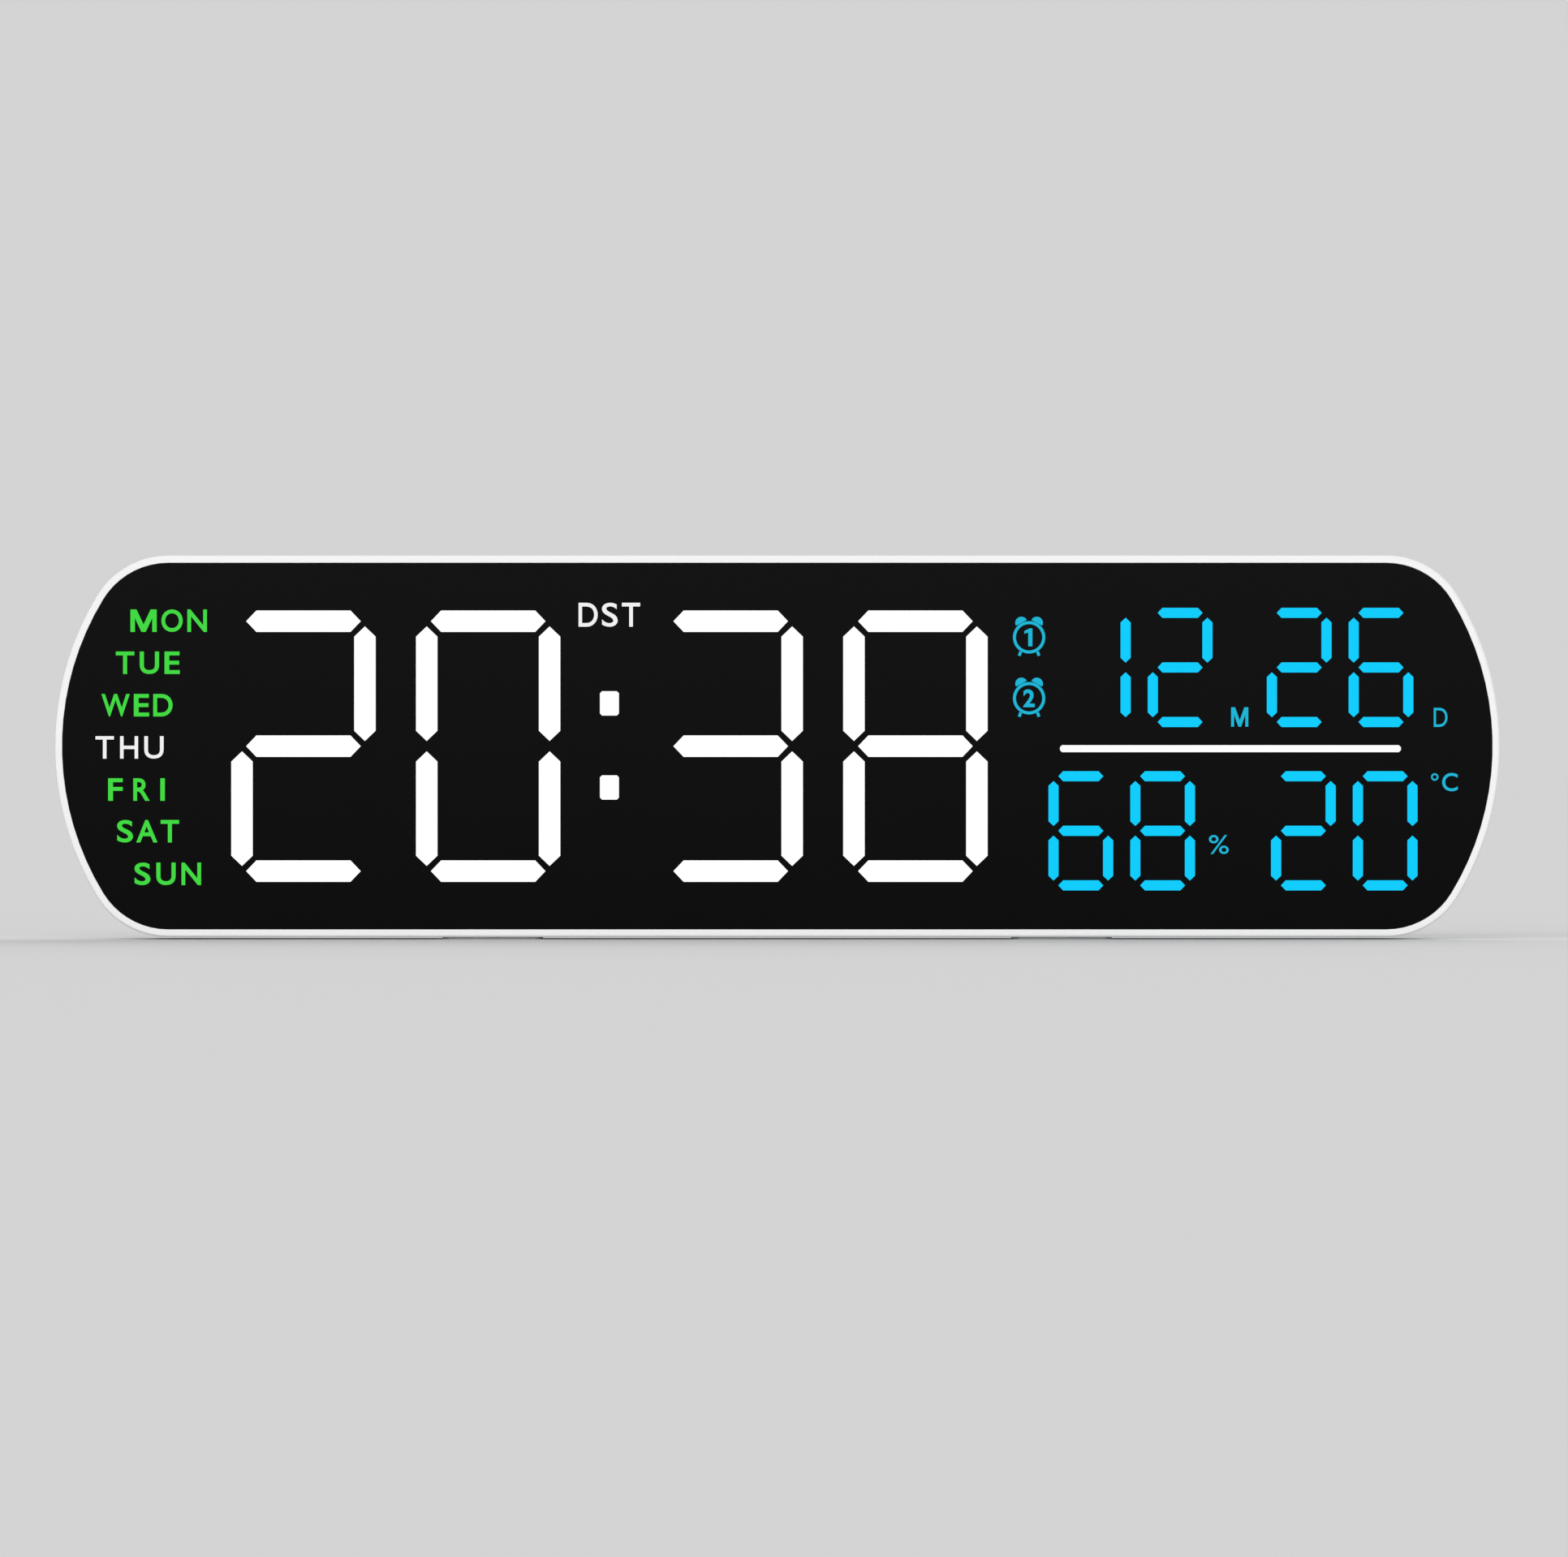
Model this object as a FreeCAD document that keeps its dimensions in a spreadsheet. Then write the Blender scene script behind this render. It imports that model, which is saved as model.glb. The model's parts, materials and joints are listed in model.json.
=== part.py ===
import FreeCAD, Part
import os
import re

import Sketcher

# Wide LED day clock.  Origin: middle of the surface that it stands on.  +X runs along the
# clock, the display faces -Y and +Z is up.  All sizes are millimetres, angles are degrees.

SIZES = {
    # housing
    "clock_width": 380.0,
    "clock_height": 100.4,
    "clock_depth": 28.0,
    "frame_depth": 18.0,
    "end_radius": 76.3,
    "corner_radius": 22.0,
    "rim_width": 2.0,
    "rim_proud": 0.3,
    "rim_bevel": 0.6,
    "seam_bevel": 0.3,
    "cover_wall": 2.2,
    "cover_side": 2.6,
    "back_bevel": 3.0,
    "fit_gap": 0.25,
    # tabs of the rear cover that enter the front frame, and the posts that press on the board
    "tab_length": 24.0,
    "tab_thick": 1.4,
    "tab_depth": 3.0,
    "tab_x": 88.0,
    "post_x": 66.0,
    "post_z": 34.0,
    "post_size": 4.0,
    # face, diffuser, light tray and circuit board
    "panel_thick": 2.0,
    "panel_gap": 0.1,
    "diffuser_thick": 1.2,
    "tray_width": 369.0,
    "tray_height": 80.0,
    "tray_top_width": 340.0,
    "tray_end_height": 40.0,
    "tray_depth": 7.5,
    "tray_gap": 0.3,
    "board_thick": 1.6,
    "cell_margin": 0.25,
    "large_taper": 10.0,
    "small_taper": 5.0,
    # large digits
    "large_pitch_x": 32.3,
    "large_pitch_z": 32.85,
    "large_length": 30.15,
    "large_thick": 5.65,
    "large_tip": 2.7,
    "hours_x": -140.7,
    "minutes_x": -28.4,
    "large_step": 48.55,
    "large_z": 0.0,
    "colon_z": 0.2,
    "colon_width": 5.0,
    "colon_height": 6.4,
    "colon_corner": 0.55,
    "colon_pitch": 22.1,
    # small digits
    "small_pitch_x": 14.35,
    "small_pitch_z": 14.35,
    "small_length": 11.8,
    "small_thick": 2.65,
    "small_tip": 1.25,
    "small_step": 21.5,
    "month_x": 77.2,
    "day_x": 130.0,
    "humidity_x": 72.6,
    "temperature_x": 131.1,
    "upper_row_z": 20.7,
    "lower_row_z": -22.25,
    "divider_x": 119.1,
    "divider_z": -0.65,
    "divider_length": 89.6,
    "divider_height": 1.85,
    # light cells behind the words and marks
    "weekday_radius": 56.5,
    "weekday_pitch": 11.1,
    "weekday_width": 21.5,
    "weekday_height": 8.0,
    "summer_z": 34.7,
    "summer_width": 17.6,
    "summer_height": 7.4,
    "alarm_x": 66.2,
    "alarm_z": 21.1,
    "alarm_pitch": 16.0,
    "alarm_width": 10.4,
    "alarm_height": 12.0,
    "mark_width": 6.6,
    "mark_height": 6.8,
    "month_mark_x": 121.5,
    "day_mark_x": 174.3,
    "date_mark_z": 7.7,
    "percent_mark_x": 116.1,
    "percent_mark_z": -26.0,
    "degree_mark_x": 175.3,
    "degree_mark_z": -9.6,
    "degree_mark_width": 8.8,
    # light sources
    "large_led_long": 3.5,
    "large_led_short": 2.8,
    "small_led_long": 2.0,
    "small_led_short": 1.25,
    "led_height": 0.8,
    # screws and their bosses
    "screw_row_z": 43.6,
    "case_screw_x": 155.0,
    "case_boss_size": 6.5,
    "case_boss_top": 2.5,
    "case_pilot": 2.7,
    "case_shank": 2.6,
    "case_shank_length": 10.0,
    "case_head": 5.0,
    "case_head_height": 2.0,
    "case_column": 8.0,
    "case_recess": 5.8,
    "case_floor": 6.0,
    "case_hole": 3.0,
    # resting pads
    "pad_proud": 0.6,
    "pad_sink": 0.8,
    "pad_length": 26.0,
    "pad_x": 75.0,
    "front_pad_y": -9.0,
    "front_pad_width": 5.0,
    "rear_pad_y": 7.4,
    "rear_pad_width": 4.0,
    "pad_gap": 0.1,
    # wall keyholes
    "keyhole_x": 120.0,
    "keyhole_z": 20.0,
    "keyhole_entry": 9.0,
    "keyhole_neck": 4.6,
    "keyhole_rise": 8.0,
    "keyhole_space": 4.8,
    "keyhole_space_width": 13.0,
    "keyhole_wall": 1.3,
    # fold-out stand legs
    "leg_x": 120.0,
    "leg_width": 24.0,
    "leg_length": 44.0,
    "leg_thick": 3.7,
    "leg_pad_proud": 0.5,
    "leg_pad_thick": 1.2,
    "leg_pad_width": 16.0,
    "leg_pad_length": 10.0,
    "leg_pad_end": 5.0,
    "leg_corner": 4.0,
    "leg_gap": 0.4,
    "leg_rib": 1.6,
    "leg_hollow": 1.6,
    "leg_hollow_length": 26.0,
    "leg_finger": 4.0,
    "hinge_inset": 3.4,
    "knuckle_round": 4.8,
    "leg_pin": 2.0,
    "leg_pin_gap": 0.05,
    "leg_pin_grip": 3.0,
    "bay_wall": 1.4,
    "bay_side": 3.8,
    # battery door and its well
    "door_x": 45.0,
    "door_z": -8.0,
    "door_width": 30.0,
    "door_height": 30.0,
    "door_thick": 1.6,
    "door_corner": 2.0,
    "tongue_width": 5.0,
    "tongue_length": 2.5,
    "tongue_thick": 1.1,
    "tongue_pitch": 16.0,
    "tongue_drop": 0.1,
    "tongue_space": 4.2,
    "door_finger": 7.0,
    "door_finger_depth": 0.9,
    "well_width": 25.0,
    "well_floor_y": 5.8,
    "well_wall": 4.0,
    "well_bottom": 1.4,
    "cell_round": 20.0,
    "cell_thick": 3.2,
    "holder_size": 23.6,
    "holder_height": 4.0,
    "holder_floor": 1.0,
    "holder_gap": 0.2,
    "contact_width": 3.0,
    "contact_thick": 0.4,
    "contact_spacing": 14.0,
    # keys
    "key_x": -53.0,
    "key_z": 18.0,
    "key_pitch": 16.0,
    "key_long": 9.4,
    "key_short": 5.8,
    "key_gap": 0.3,
    "key_proud": 1.1,
    "key_corner": 1.2,
    "key_bevel": 0.5,
    "key_flange": 1.5,
    "key_flange_thick": 0.8,
    "key_flange_gap": 0.3,
    "key_stem": 3.6,
    "key_recess_depth": 1.4,
    "key_recess_long": 84.0,
    "key_recess_high": 14.0,
    "key_floor": 2.2,
    "switch_size": 6.0,
    "switch_height": 3.4,
    "plunger_size": 3.0,
    "plunger_gap": 0.3,
    "plunger_height": 1.0,
    "plunger_deep": 1.6,
    "plunger_travel": 0.8,
    # supply socket
    "socket_x": -10.0,
    "socket_z": -27.0,
    "socket_width": 8.9,
    "socket_high": 3.2,
    "socket_wall": 0.35,
    "socket_tongue_width": 6.6,
    "socket_tongue_high": 0.8,
    "socket_tongue_back": 0.9,
    "socket_base": 3.0,
    "socket_gap": 0.25,
    "plug_recess_depth": 5.0,
    "plug_recess_width": 14.0,
    "plug_recess_high": 8.5,
    "plug_recess_corner": 2.0,
    "plug_recess_wall": 1.6,
    # vents and sound holes
    "vent_x": 84.0,
    "vent_z": -22.0,
    "vent_count": 7,
    "vent_pitch": 4.2,
    "vent_width": 1.8,
    "vent_length": 16.0,
    "sensor_size": 5.0,
    "sensor_height": 1.6,
    "buzzer_x": -60.0,
    "buzzer_z": -18.0,
    "buzzer_round": 12.0,
    "buzzer_height": 5.5,
    "sound_count": 3,
    "sound_pitch": 3.2,
    "sound_width": 1.4,
    "sound_length": 9.0,
    # other electronics on the back of the circuit board
    "driver_long": 10.3,
    "driver_short": 7.5,
    "driver_height": 2.2,
    "driver_pitch": 60.0,
    "driver_z": 4.0,
    "control_size": 10.0,
    "control_height": 1.4,
    "control_x": -20.0,
    "control_z": -6.0,
    "crystal_long": 10.5,
    "crystal_short": 4.0,
    "crystal_height": 3.4,
    "crystal_z": -16.0,
    "capacitor_round": 6.3,
    "capacitor_height": 6.0,
    "capacitor_x": 14.0,
    "capacitor_pitch": 9.0,
}

doc = FreeCAD.newDocument("day_clock")
sheet = doc.addObject("Spreadsheet::Sheet", "dims")
for row, (size_name, size_value) in enumerate(SIZES.items(), start=1):
    sheet.set(f"A{row}", str(size_value))
    sheet.setAlias(f"A{row}", size_name)
doc.recompute()

# Places that follow from the sizes.  Y places first, from the display to the back.
FRONT = "(-clock_depth / 2)"
REAR = "(clock_depth / 2)"
PARTING = f"({FRONT} + frame_depth)"
PANEL_FRONT = f"({FRONT} + rim_proud)"
PANEL_BACK = f"({PANEL_FRONT} + panel_thick)"
LEDGE_BACK = f"({PANEL_BACK} + diffuser_thick)"
BOARD_FRONT = f"({LEDGE_BACK} + tray_depth)"
BOARD_BACK = f"({BOARD_FRONT} + board_thick)"
COVER_INSIDE = f"({REAR} - cover_wall)"
BOSS_TOP = f"({PARTING} - case_boss_top)"
CASE_SEAT = f"({REAR} - case_floor)"
# Heights: sketches on the display plane are drawn from the middle of the clock.
MIDDLE = "(pad_proud + clock_height / 2)"
# The leg's axis is as far from the back as from the floor, so an open leg lies flat on it.
HINGE_Y = f"({REAR} - hinge_inset)"
HINGE_Z = "hinge_inset"
LEG_BACK = f"({REAR} - leg_pad_proud)"
LEG_FRONT = f"({LEG_BACK} - leg_thick)"
DOOR_INSIDE = f"({REAR} - door_thick)"
DOOR_BOTTOM = "(door_z - door_height / 2)"
WELL_FLOOR = "(well_floor_y + well_bottom)"
KEY_FLOOR = f"({REAR} - key_recess_depth)"
KEY_INSIDE = f"({KEY_FLOOR} - key_floor)"
SWITCH_TOP = f"({BOARD_BACK} + switch_height)"
PLUNGER_TOP = f"({SWITCH_TOP} + plunger_height)"
SOCKET_MOUTH = f"({REAR} - plug_recess_depth)"

PIECES = []


def sized(text):
    """An expression with each size's name written the way the sheet wants it."""
    return re.sub(r"[a-z_]\w*", lambda word: f"dims.{word[0]}" if word[0] in SIZES else word[0], text)


def number(text):
    """The value of an expression now."""
    return float(sheet.evalExpression(sized(text)))


def new_body(name, is_piece=True):
    body = doc.addObject("PartDesign::Body", name)
    body.Label = name
    if is_piece:
        PIECES.append(body)
    return body


def datum(body, role):
    return next(item for item in body.Origin.OriginFeatures if item.Role == role)


def display_sketch(body, y):
    """A sketch that faces the front at depth y, drawn from the middle of the clock."""
    sketch = body.newObject("Sketcher::SketchObject", f"{body.Name}_outline")
    sketch.AttachmentSupport = [(datum(body, "XZ_Plane"), "")]
    sketch.MapMode = "FlatFace"
    sketch.setExpression("AttachmentOffset.Base.y", sized(MIDDLE))
    sketch.setExpression("AttachmentOffset.Base.z", sized(f"-({y})"))
    return sketch


def side_sketch(body, x):
    """A sketch across the clock at x: its axes are Y and Z, and it faces +X."""
    sketch = body.newObject("Sketcher::SketchObject", f"{body.Name}_side")
    sketch.AttachmentSupport = [(datum(body, "YZ_Plane"), "")]
    sketch.MapMode = "FlatFace"
    sketch.setExpression("AttachmentOffset.Base.z", sized(x))
    return sketch


def floor_sketch(body, z):
    """A level sketch at height z that faces up."""
    sketch = body.newObject("Sketcher::SketchObject", f"{body.Name}_level")
    sketch.AttachmentSupport = [(datum(body, "XY_Plane"), "")]
    sketch.MapMode = "FlatFace"
    sketch.setExpression("AttachmentOffset.Base.z", sized(z))
    return sketch


def constrain(sketch, *terms, size=None):
    """Adds one constraint, whose size follows an expression if it has one."""
    if size is None:
        sketch.addConstraint(Sketcher.Constraint(*terms))
        return
    index = sketch.addConstraint(Sketcher.Constraint(*terms, number(size)))
    sketch.setExpression(f"Constraints[{index}]", sized(size))


def pin_point(sketch, item, end, across, up):
    constrain(sketch, "DistanceX", -1, 1, item, end, size=across)
    constrain(sketch, "DistanceY", -1, 1, item, end, size=up)


def polygon(sketch, corners):
    """A closed outline with straight sides and each corner held in place."""
    first = sketch.GeometryCount
    points = [FreeCAD.Vector(number(across), number(up), 0) for across, up in corners]
    for start, end in zip(points, points[1:] + points[:1]):
        sketch.addGeometry(Part.LineSegment(start, end), False)
    for index, (across, up) in enumerate(corners):
        following = (index + 1) % len(corners)
        constrain(sketch, "Coincident", first + index, 2, first + following, 1)
        pin_point(sketch, first + index, 1, across, up)


def rectangle(sketch, across, up, width, height):
    left, right = f"{across} - ({width}) / 2", f"{across} + ({width}) / 2"
    low, high = f"{up} - ({height}) / 2", f"{up} + ({height}) / 2"
    polygon(sketch, [(left, low), (right, low), (right, high), (left, high)])


def circle(sketch, across, up, diameter):
    item = sketch.GeometryCount
    centre = FreeCAD.Vector(number(across), number(up), 0)
    shape = Part.Circle(centre, FreeCAD.Vector(0, 0, 1), number(f"({diameter}) / 2"))
    sketch.addGeometry(shape, False)
    pin_point(sketch, item, 3, across, up)
    constrain(sketch, "Radius", item, size=f"({diameter}) / 2")


def arc(sketch, across, up, radius, start_deg, end_deg):
    shape = Part.Circle(FreeCAD.Vector(across, up, 0), FreeCAD.Vector(0, 0, 1), radius)
    start, end = (FreeCAD.Units.Quantity(f"{angle} deg").getValueAs("rad").Value
                  for angle in (start_deg, end_deg))
    sketch.addGeometry(Part.ArcOfCircle(shape, start, end), False)


def cut_corners(sketch, across, up, width, height, cut):
    """A rectangle with its four corners cut off."""
    left, right = f"({across} - ({width}) / 2)", f"({across} + ({width}) / 2)"
    low, high = f"({up} - ({height}) / 2)", f"({up} + ({height}) / 2)"
    polygon(sketch, [
        (f"{left} + {cut}", low),
        (f"{right} - {cut}", low),
        (right, f"{low} + {cut}"),
        (right, f"{high} - {cut}"),
        (f"{right} - {cut}", high),
        (f"{left} + {cut}", high),
        (left, f"{high} - {cut}"),
        (left, f"{low} + {cut}"),
    ])


def octagon(sketch, across, up, size):
    """A regular eight-sided outline; the size is from flat to flat."""
    cut_corners(sketch, across, up, size, size, f"({size}) * (1 - sqrt(0.5))")


def clock_outline(sketch, width, height, end_radius, corner_radius):
    """The clock's form: long straight sides and shallow round ends, with round corners."""
    first = sketch.GeometryCount
    w, h, r_end, r = (number(text) for text in (width, height, end_radius, corner_radius))
    end_x = w / 2 - r_end
    corner_z = h / 2 - r
    corner_x = end_x + ((r_end - r) ** 2 - corner_z**2) ** 0.5
    lean = FreeCAD.Vector(1, 0, 0).getAngle(FreeCAD.Vector(corner_x - end_x, corner_z, 0))
    lean = FreeCAD.Units.Quantity(f"{lean} rad").getValueAs("deg").Value
    arc(sketch, end_x, 0, r_end, -lean, lean)
    arc(sketch, corner_x, corner_z, r, lean, 90)
    start, end = FreeCAD.Vector(corner_x, h / 2, 0), FreeCAD.Vector(-corner_x, h / 2, 0)
    sketch.addGeometry(Part.LineSegment(start, end), False)
    arc(sketch, -corner_x, corner_z, r, 90, 180 - lean)
    arc(sketch, -end_x, 0, r_end, 180 - lean, 180 + lean)
    arc(sketch, -corner_x, -corner_z, r, 180 + lean, 270)
    start, end = FreeCAD.Vector(-corner_x, -h / 2, 0), FreeCAD.Vector(corner_x, -h / 2, 0)
    sketch.addGeometry(Part.LineSegment(start, end), False)
    arc(sketch, corner_x, -corner_z, r, 270, 360 - lean)
    for index in range(8):
        constrain(sketch, "Tangent", first + index, 2, first + (index + 1) % 8, 1)
    pin_point(sketch, first, 3, f"({width}) / 2 - ({end_radius})", "0")
    pin_point(sketch, first + 4, 3, f"({end_radius}) - ({width}) / 2", "0")
    for item in (0, 4):
        constrain(sketch, "Radius", first + item, size=end_radius)
    for item in (1, 3, 5, 7):
        constrain(sketch, "Radius", first + item, size=corner_radius)
    for item, side in ((2, f"({height}) / 2"), (6, f"-({height}) / 2")):
        constrain(sketch, "Horizontal", first + item)
        constrain(sketch, "DistanceY", -1, 1, first + item, 1, size=side)


def housing_outline(sketch, inset="0"):
    """The housing's outline, moved in by the inset."""
    clock_outline(
        sketch,
        f"clock_width - 2 * ({inset})",
        f"clock_height - 2 * ({inset})",
        f"end_radius - ({inset})",
        f"corner_radius - ({inset})",
    )


def tray_outline(sketch, gap="0"):
    """The outline of the diffuser, light tray and circuit board, moved out by the gap."""
    wide, high = f"(tray_width / 2 + {gap})", f"(tray_height / 2 + {gap})"
    top, end = "(tray_top_width / 2)", "(tray_end_height / 2)"
    polygon(sketch, [
        (f"-{wide}", f"-{end}"),
        (f"-{top}", f"-{high}"),
        (top, f"-{high}"),
        (wide, f"-{end}"),
        (wide, end),
        (top, high),
        (f"-{top}", high),
        (f"-{wide}", end),
    ])


def pad(body, sketch, length, to_front=True):
    """Adds material from a sketch.  A display sketch faces the front, so that is its own way."""
    feature = body.newObject("PartDesign::Pad", f"{body.Name}_pad")
    feature.Profile = sketch
    feature.setExpression("Length", sized(length))
    feature.Reversed = not to_front
    return feature


def pocket(body, sketch, depth, to_front=True):
    """Removes material from a display sketch, towards the front or the back."""
    feature = body.newObject("PartDesign::Pocket", f"{body.Name}_pocket")
    feature.Profile = sketch
    feature.setExpression("Length", sized(depth))
    feature.Reversed = to_front
    return feature


def grid(body, features, sketch, across="0", across_count=1, up="0", up_count=1):
    """Repeats features along the clock and up it.  The steps are expressions."""
    pattern = body.newObject("PartDesign::LinearPattern", f"{body.Name}_grid")
    pattern.Originals = features
    pattern.Direction = (sketch, ["H_Axis"])
    pattern.Direction2 = (sketch, ["V_Axis"])
    pattern.setExpression("Length", sized(f"({across}) * {max(across_count - 1, 1)}"))
    pattern.setExpression("Length2", sized(f"({up}) * {max(up_count - 1, 1)}"))
    pattern.Occurrences = across_count
    pattern.Occurrences2 = up_count
    body.Tip = pattern
    return pattern


def bevel_edges(body, size, wanted):
    """Bevels the edges of the body so far that the test picks."""
    doc.recompute()
    base = body.Tip
    picked = [f"Edge{place}" for place, edge in enumerate(base.Shape.Edges, start=1) if wanted(edge)]
    bevel = body.newObject("PartDesign::Chamfer", f"{body.Name}_bevel")
    bevel.Base = (base, picked)
    bevel.setExpression("Size", sized(size))
    return bevel


def lies_at(edge, axis, place):
    """Whether an edge lies wholly in the plane at a place on the axis, X, Y or Z."""
    box = edge.BoundBox
    return max(abs(getattr(box, axis + end) - number(place)) for end in ("Min", "Max")) < 1e-4


def block(name, x, y, z, width, depth, height, is_piece=True):
    """A Part::Box centred on x and z, whose front is at y, with heights from the middle."""
    box = doc.addObject("Part::Box", name)
    box.Label = name
    box.setExpression("Length", sized(width))
    box.setExpression("Width", sized(depth))
    box.setExpression("Height", sized(height))
    box.setExpression("Placement.Base.x", sized(f"{x} - ({width}) / 2"))
    box.setExpression("Placement.Base.y", sized(y))
    box.setExpression("Placement.Base.z", sized(f"{MIDDLE} + {z} - ({height}) / 2"))
    if is_piece:
        PIECES.append(box)
    return box


# ---------------------------------------------------------------- digits

LARGE = {"pitch_x": "large_pitch_x", "pitch_z": "large_pitch_z", "length": "large_length",
         "thick": "large_thick", "tip": "large_tip", "taper": "large_taper",
         "lamp_long": "large_led_long", "lamp_short": "large_led_short"}
SMALL = {"pitch_x": "small_pitch_x", "pitch_z": "small_pitch_z", "length": "small_length",
         "thick": "small_thick", "tip": "small_tip", "taper": "small_taper",
         "lamp_long": "small_led_long", "lamp_short": "small_led_short"}

# name: (style, x of the left stroke's axis, z of the middle stroke's axis, has all strokes)
DIGITS = {
    "hours_tens_digit": (LARGE, "hours_x", "large_z", True),
    "hours_units_digit": (LARGE, "hours_x + large_step", "large_z", True),
    "minutes_tens_digit": (LARGE, "minutes_x", "large_z", True),
    "minutes_units_digit": (LARGE, "minutes_x + large_step", "large_z", True),
    "month_tens_digit": (SMALL, "month_x", "upper_row_z", False),
    "month_units_digit": (SMALL, "month_x + small_step", "upper_row_z", True),
    "day_tens_digit": (SMALL, "day_x", "upper_row_z", True),
    "day_units_digit": (SMALL, "day_x + small_step", "upper_row_z", True),
    "humidity_tens_digit": (SMALL, "humidity_x", "lower_row_z", True),
    "humidity_units_digit": (SMALL, "humidity_x + small_step", "lower_row_z", True),
    "temperature_tens_digit": (SMALL, "temperature_x", "lower_row_z", True),
    "temperature_units_digit": (SMALL, "temperature_x + small_step", "lower_row_z", True),
}

COLON_X = "(hours_x + large_step + large_pitch_x + minutes_x) / 2"
WEEKDAY_CENTRE_X = "(end_radius - clock_width / 2)"

# light cells of the words and marks: (x, z, width, height)
MARK_CELLS = [
    (COLON_X, "summer_z", "summer_width", "summer_height"),
    ("alarm_x", "alarm_z + alarm_pitch / 2", "alarm_width", "alarm_height"),
    ("alarm_x", "alarm_z - alarm_pitch / 2", "alarm_width", "alarm_height"),
    ("month_mark_x", "date_mark_z", "mark_width", "mark_height"),
    ("day_mark_x", "date_mark_z", "mark_width", "mark_height"),
    ("percent_mark_x", "percent_mark_z", "mark_width", "mark_height"),
    ("degree_mark_x", "degree_mark_z", "degree_mark_width", "mark_height"),
]
for day in range(-3, 4):
    day_z = f"({day} * weekday_pitch)"
    day_x = f"{WEEKDAY_CENTRE_X} - sqrt(weekday_radius * weekday_radius - {day_z} * {day_z})"
    MARK_CELLS.append((day_x, day_z, "weekday_width", "weekday_height"))
COLON_CELLS = [(COLON_X, f"colon_z {sign} colon_pitch / 2", "colon_width", "colon_height") for sign in "-+"]
DIVIDER_CELL = ("divider_x", "divider_z", "divider_length", "divider_height + 2 * cell_margin")


def strokes(digit):
    """The strokes of a digit: the joint that each starts at, and whether it is upright."""
    style, x, z, is_whole = digit
    right = f"({x} + {style['pitch_x']})"
    bottom, top = f"({z} - {style['pitch_z']})", f"({z} + {style['pitch_z']})"
    upright = [(column, row, True) for column in ([x, right] if is_whole else [right]) for row in (bottom, z)]
    level = [(x, row, False) for row in (bottom, z, top)] if is_whole else []
    return upright + level


def stroke_corners(style, x, z, is_upright, margin="0"):
    """The outline of one stroke, pointed at both ends and moved out by the margin."""
    pitch = style["pitch_z"] if is_upright else style["pitch_x"]
    half = f"({style['length']} / 2 + ({margin}))"
    waist = f"({half} - {style['tip']} * (1 + 2 * ({margin}) / {style['thick']}))"
    side = f"({style['thick']} / 2 + ({margin}))"
    outline = [(f"-{half}", "0"), (f"-{waist}", f"-{side}"), (waist, f"-{side}"),
               (half, "0"), (waist, side), (f"-{waist}", side)]
    if is_upright:
        return [(f"{x} - ({off})", f"{z} + {pitch} / 2 + ({along})") for along, off in outline]
    return [(f"{x} + {pitch} / 2 + ({along})", f"{z} + ({off})") for along, off in outline]


def digit_piece(name, digit):
    """The clear strokes of one digit, flush with the face that they sit in."""
    style, x, z, is_whole = digit
    body = new_body(name)
    bottom = f"({z} - {style['pitch_z']})"
    if is_whole:
        sketch = display_sketch(body, PANEL_BACK)
        polygon(sketch, stroke_corners(style, x, bottom, is_upright=False))
        grid(body, [pad(body, sketch, "panel_thick")], sketch, up=style["pitch_z"], up_count=3)
    left_x = x if is_whole else f"({x} + {style['pitch_x']})"
    sketch = display_sketch(body, PANEL_BACK)
    polygon(sketch, stroke_corners(style, left_x, bottom, is_upright=True))
    grid(body, [pad(body, sketch, "panel_thick")], sketch,
         style["pitch_x"], 2 if is_whole else 1, style["pitch_z"], 2)
    return body


def colon_dots():
    body = new_body("colon_dots")
    sketch = display_sketch(body, PANEL_BACK)
    cut_corners(sketch, COLON_X, "colon_z - colon_pitch / 2", "colon_width", "colon_height", "colon_corner")
    grid(body, [pad(body, sketch, "panel_thick")], sketch, up="colon_pitch", up_count=2)
    return body


def divider_bar():
    body = new_body("divider_bar")
    sketch = display_sketch(body, PANEL_BACK)
    cut_corners(sketch, "divider_x", "divider_z", "divider_length", "divider_height", "divider_height * 0.29")
    pad(body, sketch, "panel_thick")
    return body


# ---------------------------------------------------------------- display stack

def face_panel(windows):
    """The black face, cut by the strokes that fill its windows."""
    body = new_body("panel_blank", is_piece=False)
    sketch = display_sketch(body, PANEL_BACK)
    housing_outline(sketch, "rim_width + panel_gap")
    pad(body, sketch, "panel_thick")
    strokes = doc.addObject("Part::Compound", "window_strokes")
    strokes.Links = windows
    panel = doc.addObject("Part::Cut", "face_panel")
    panel.Label = "face_panel"
    panel.Base = body
    panel.Tool = strokes
    PIECES.append(panel)


def diffuser_sheet():
    body = new_body("diffuser_sheet")
    sketch = display_sketch(body, LEDGE_BACK)
    tray_outline(sketch)
    pad(body, sketch, "diffuser_thick")


def box_corners(x, z, width, height, margin):
    """The corners of a rectangle moved out by the margin."""
    right, high = f"(({width}) / 2 + ({margin}))", f"(({height}) / 2 + ({margin}))"
    return [(f"{x} - {right}", f"{z} - {high}"), (f"{x} + {right}", f"{z} - {high}"),
            (f"{x} + {right}", f"{z} + {high}"), (f"{x} - {right}", f"{z} + {high}")]


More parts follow.
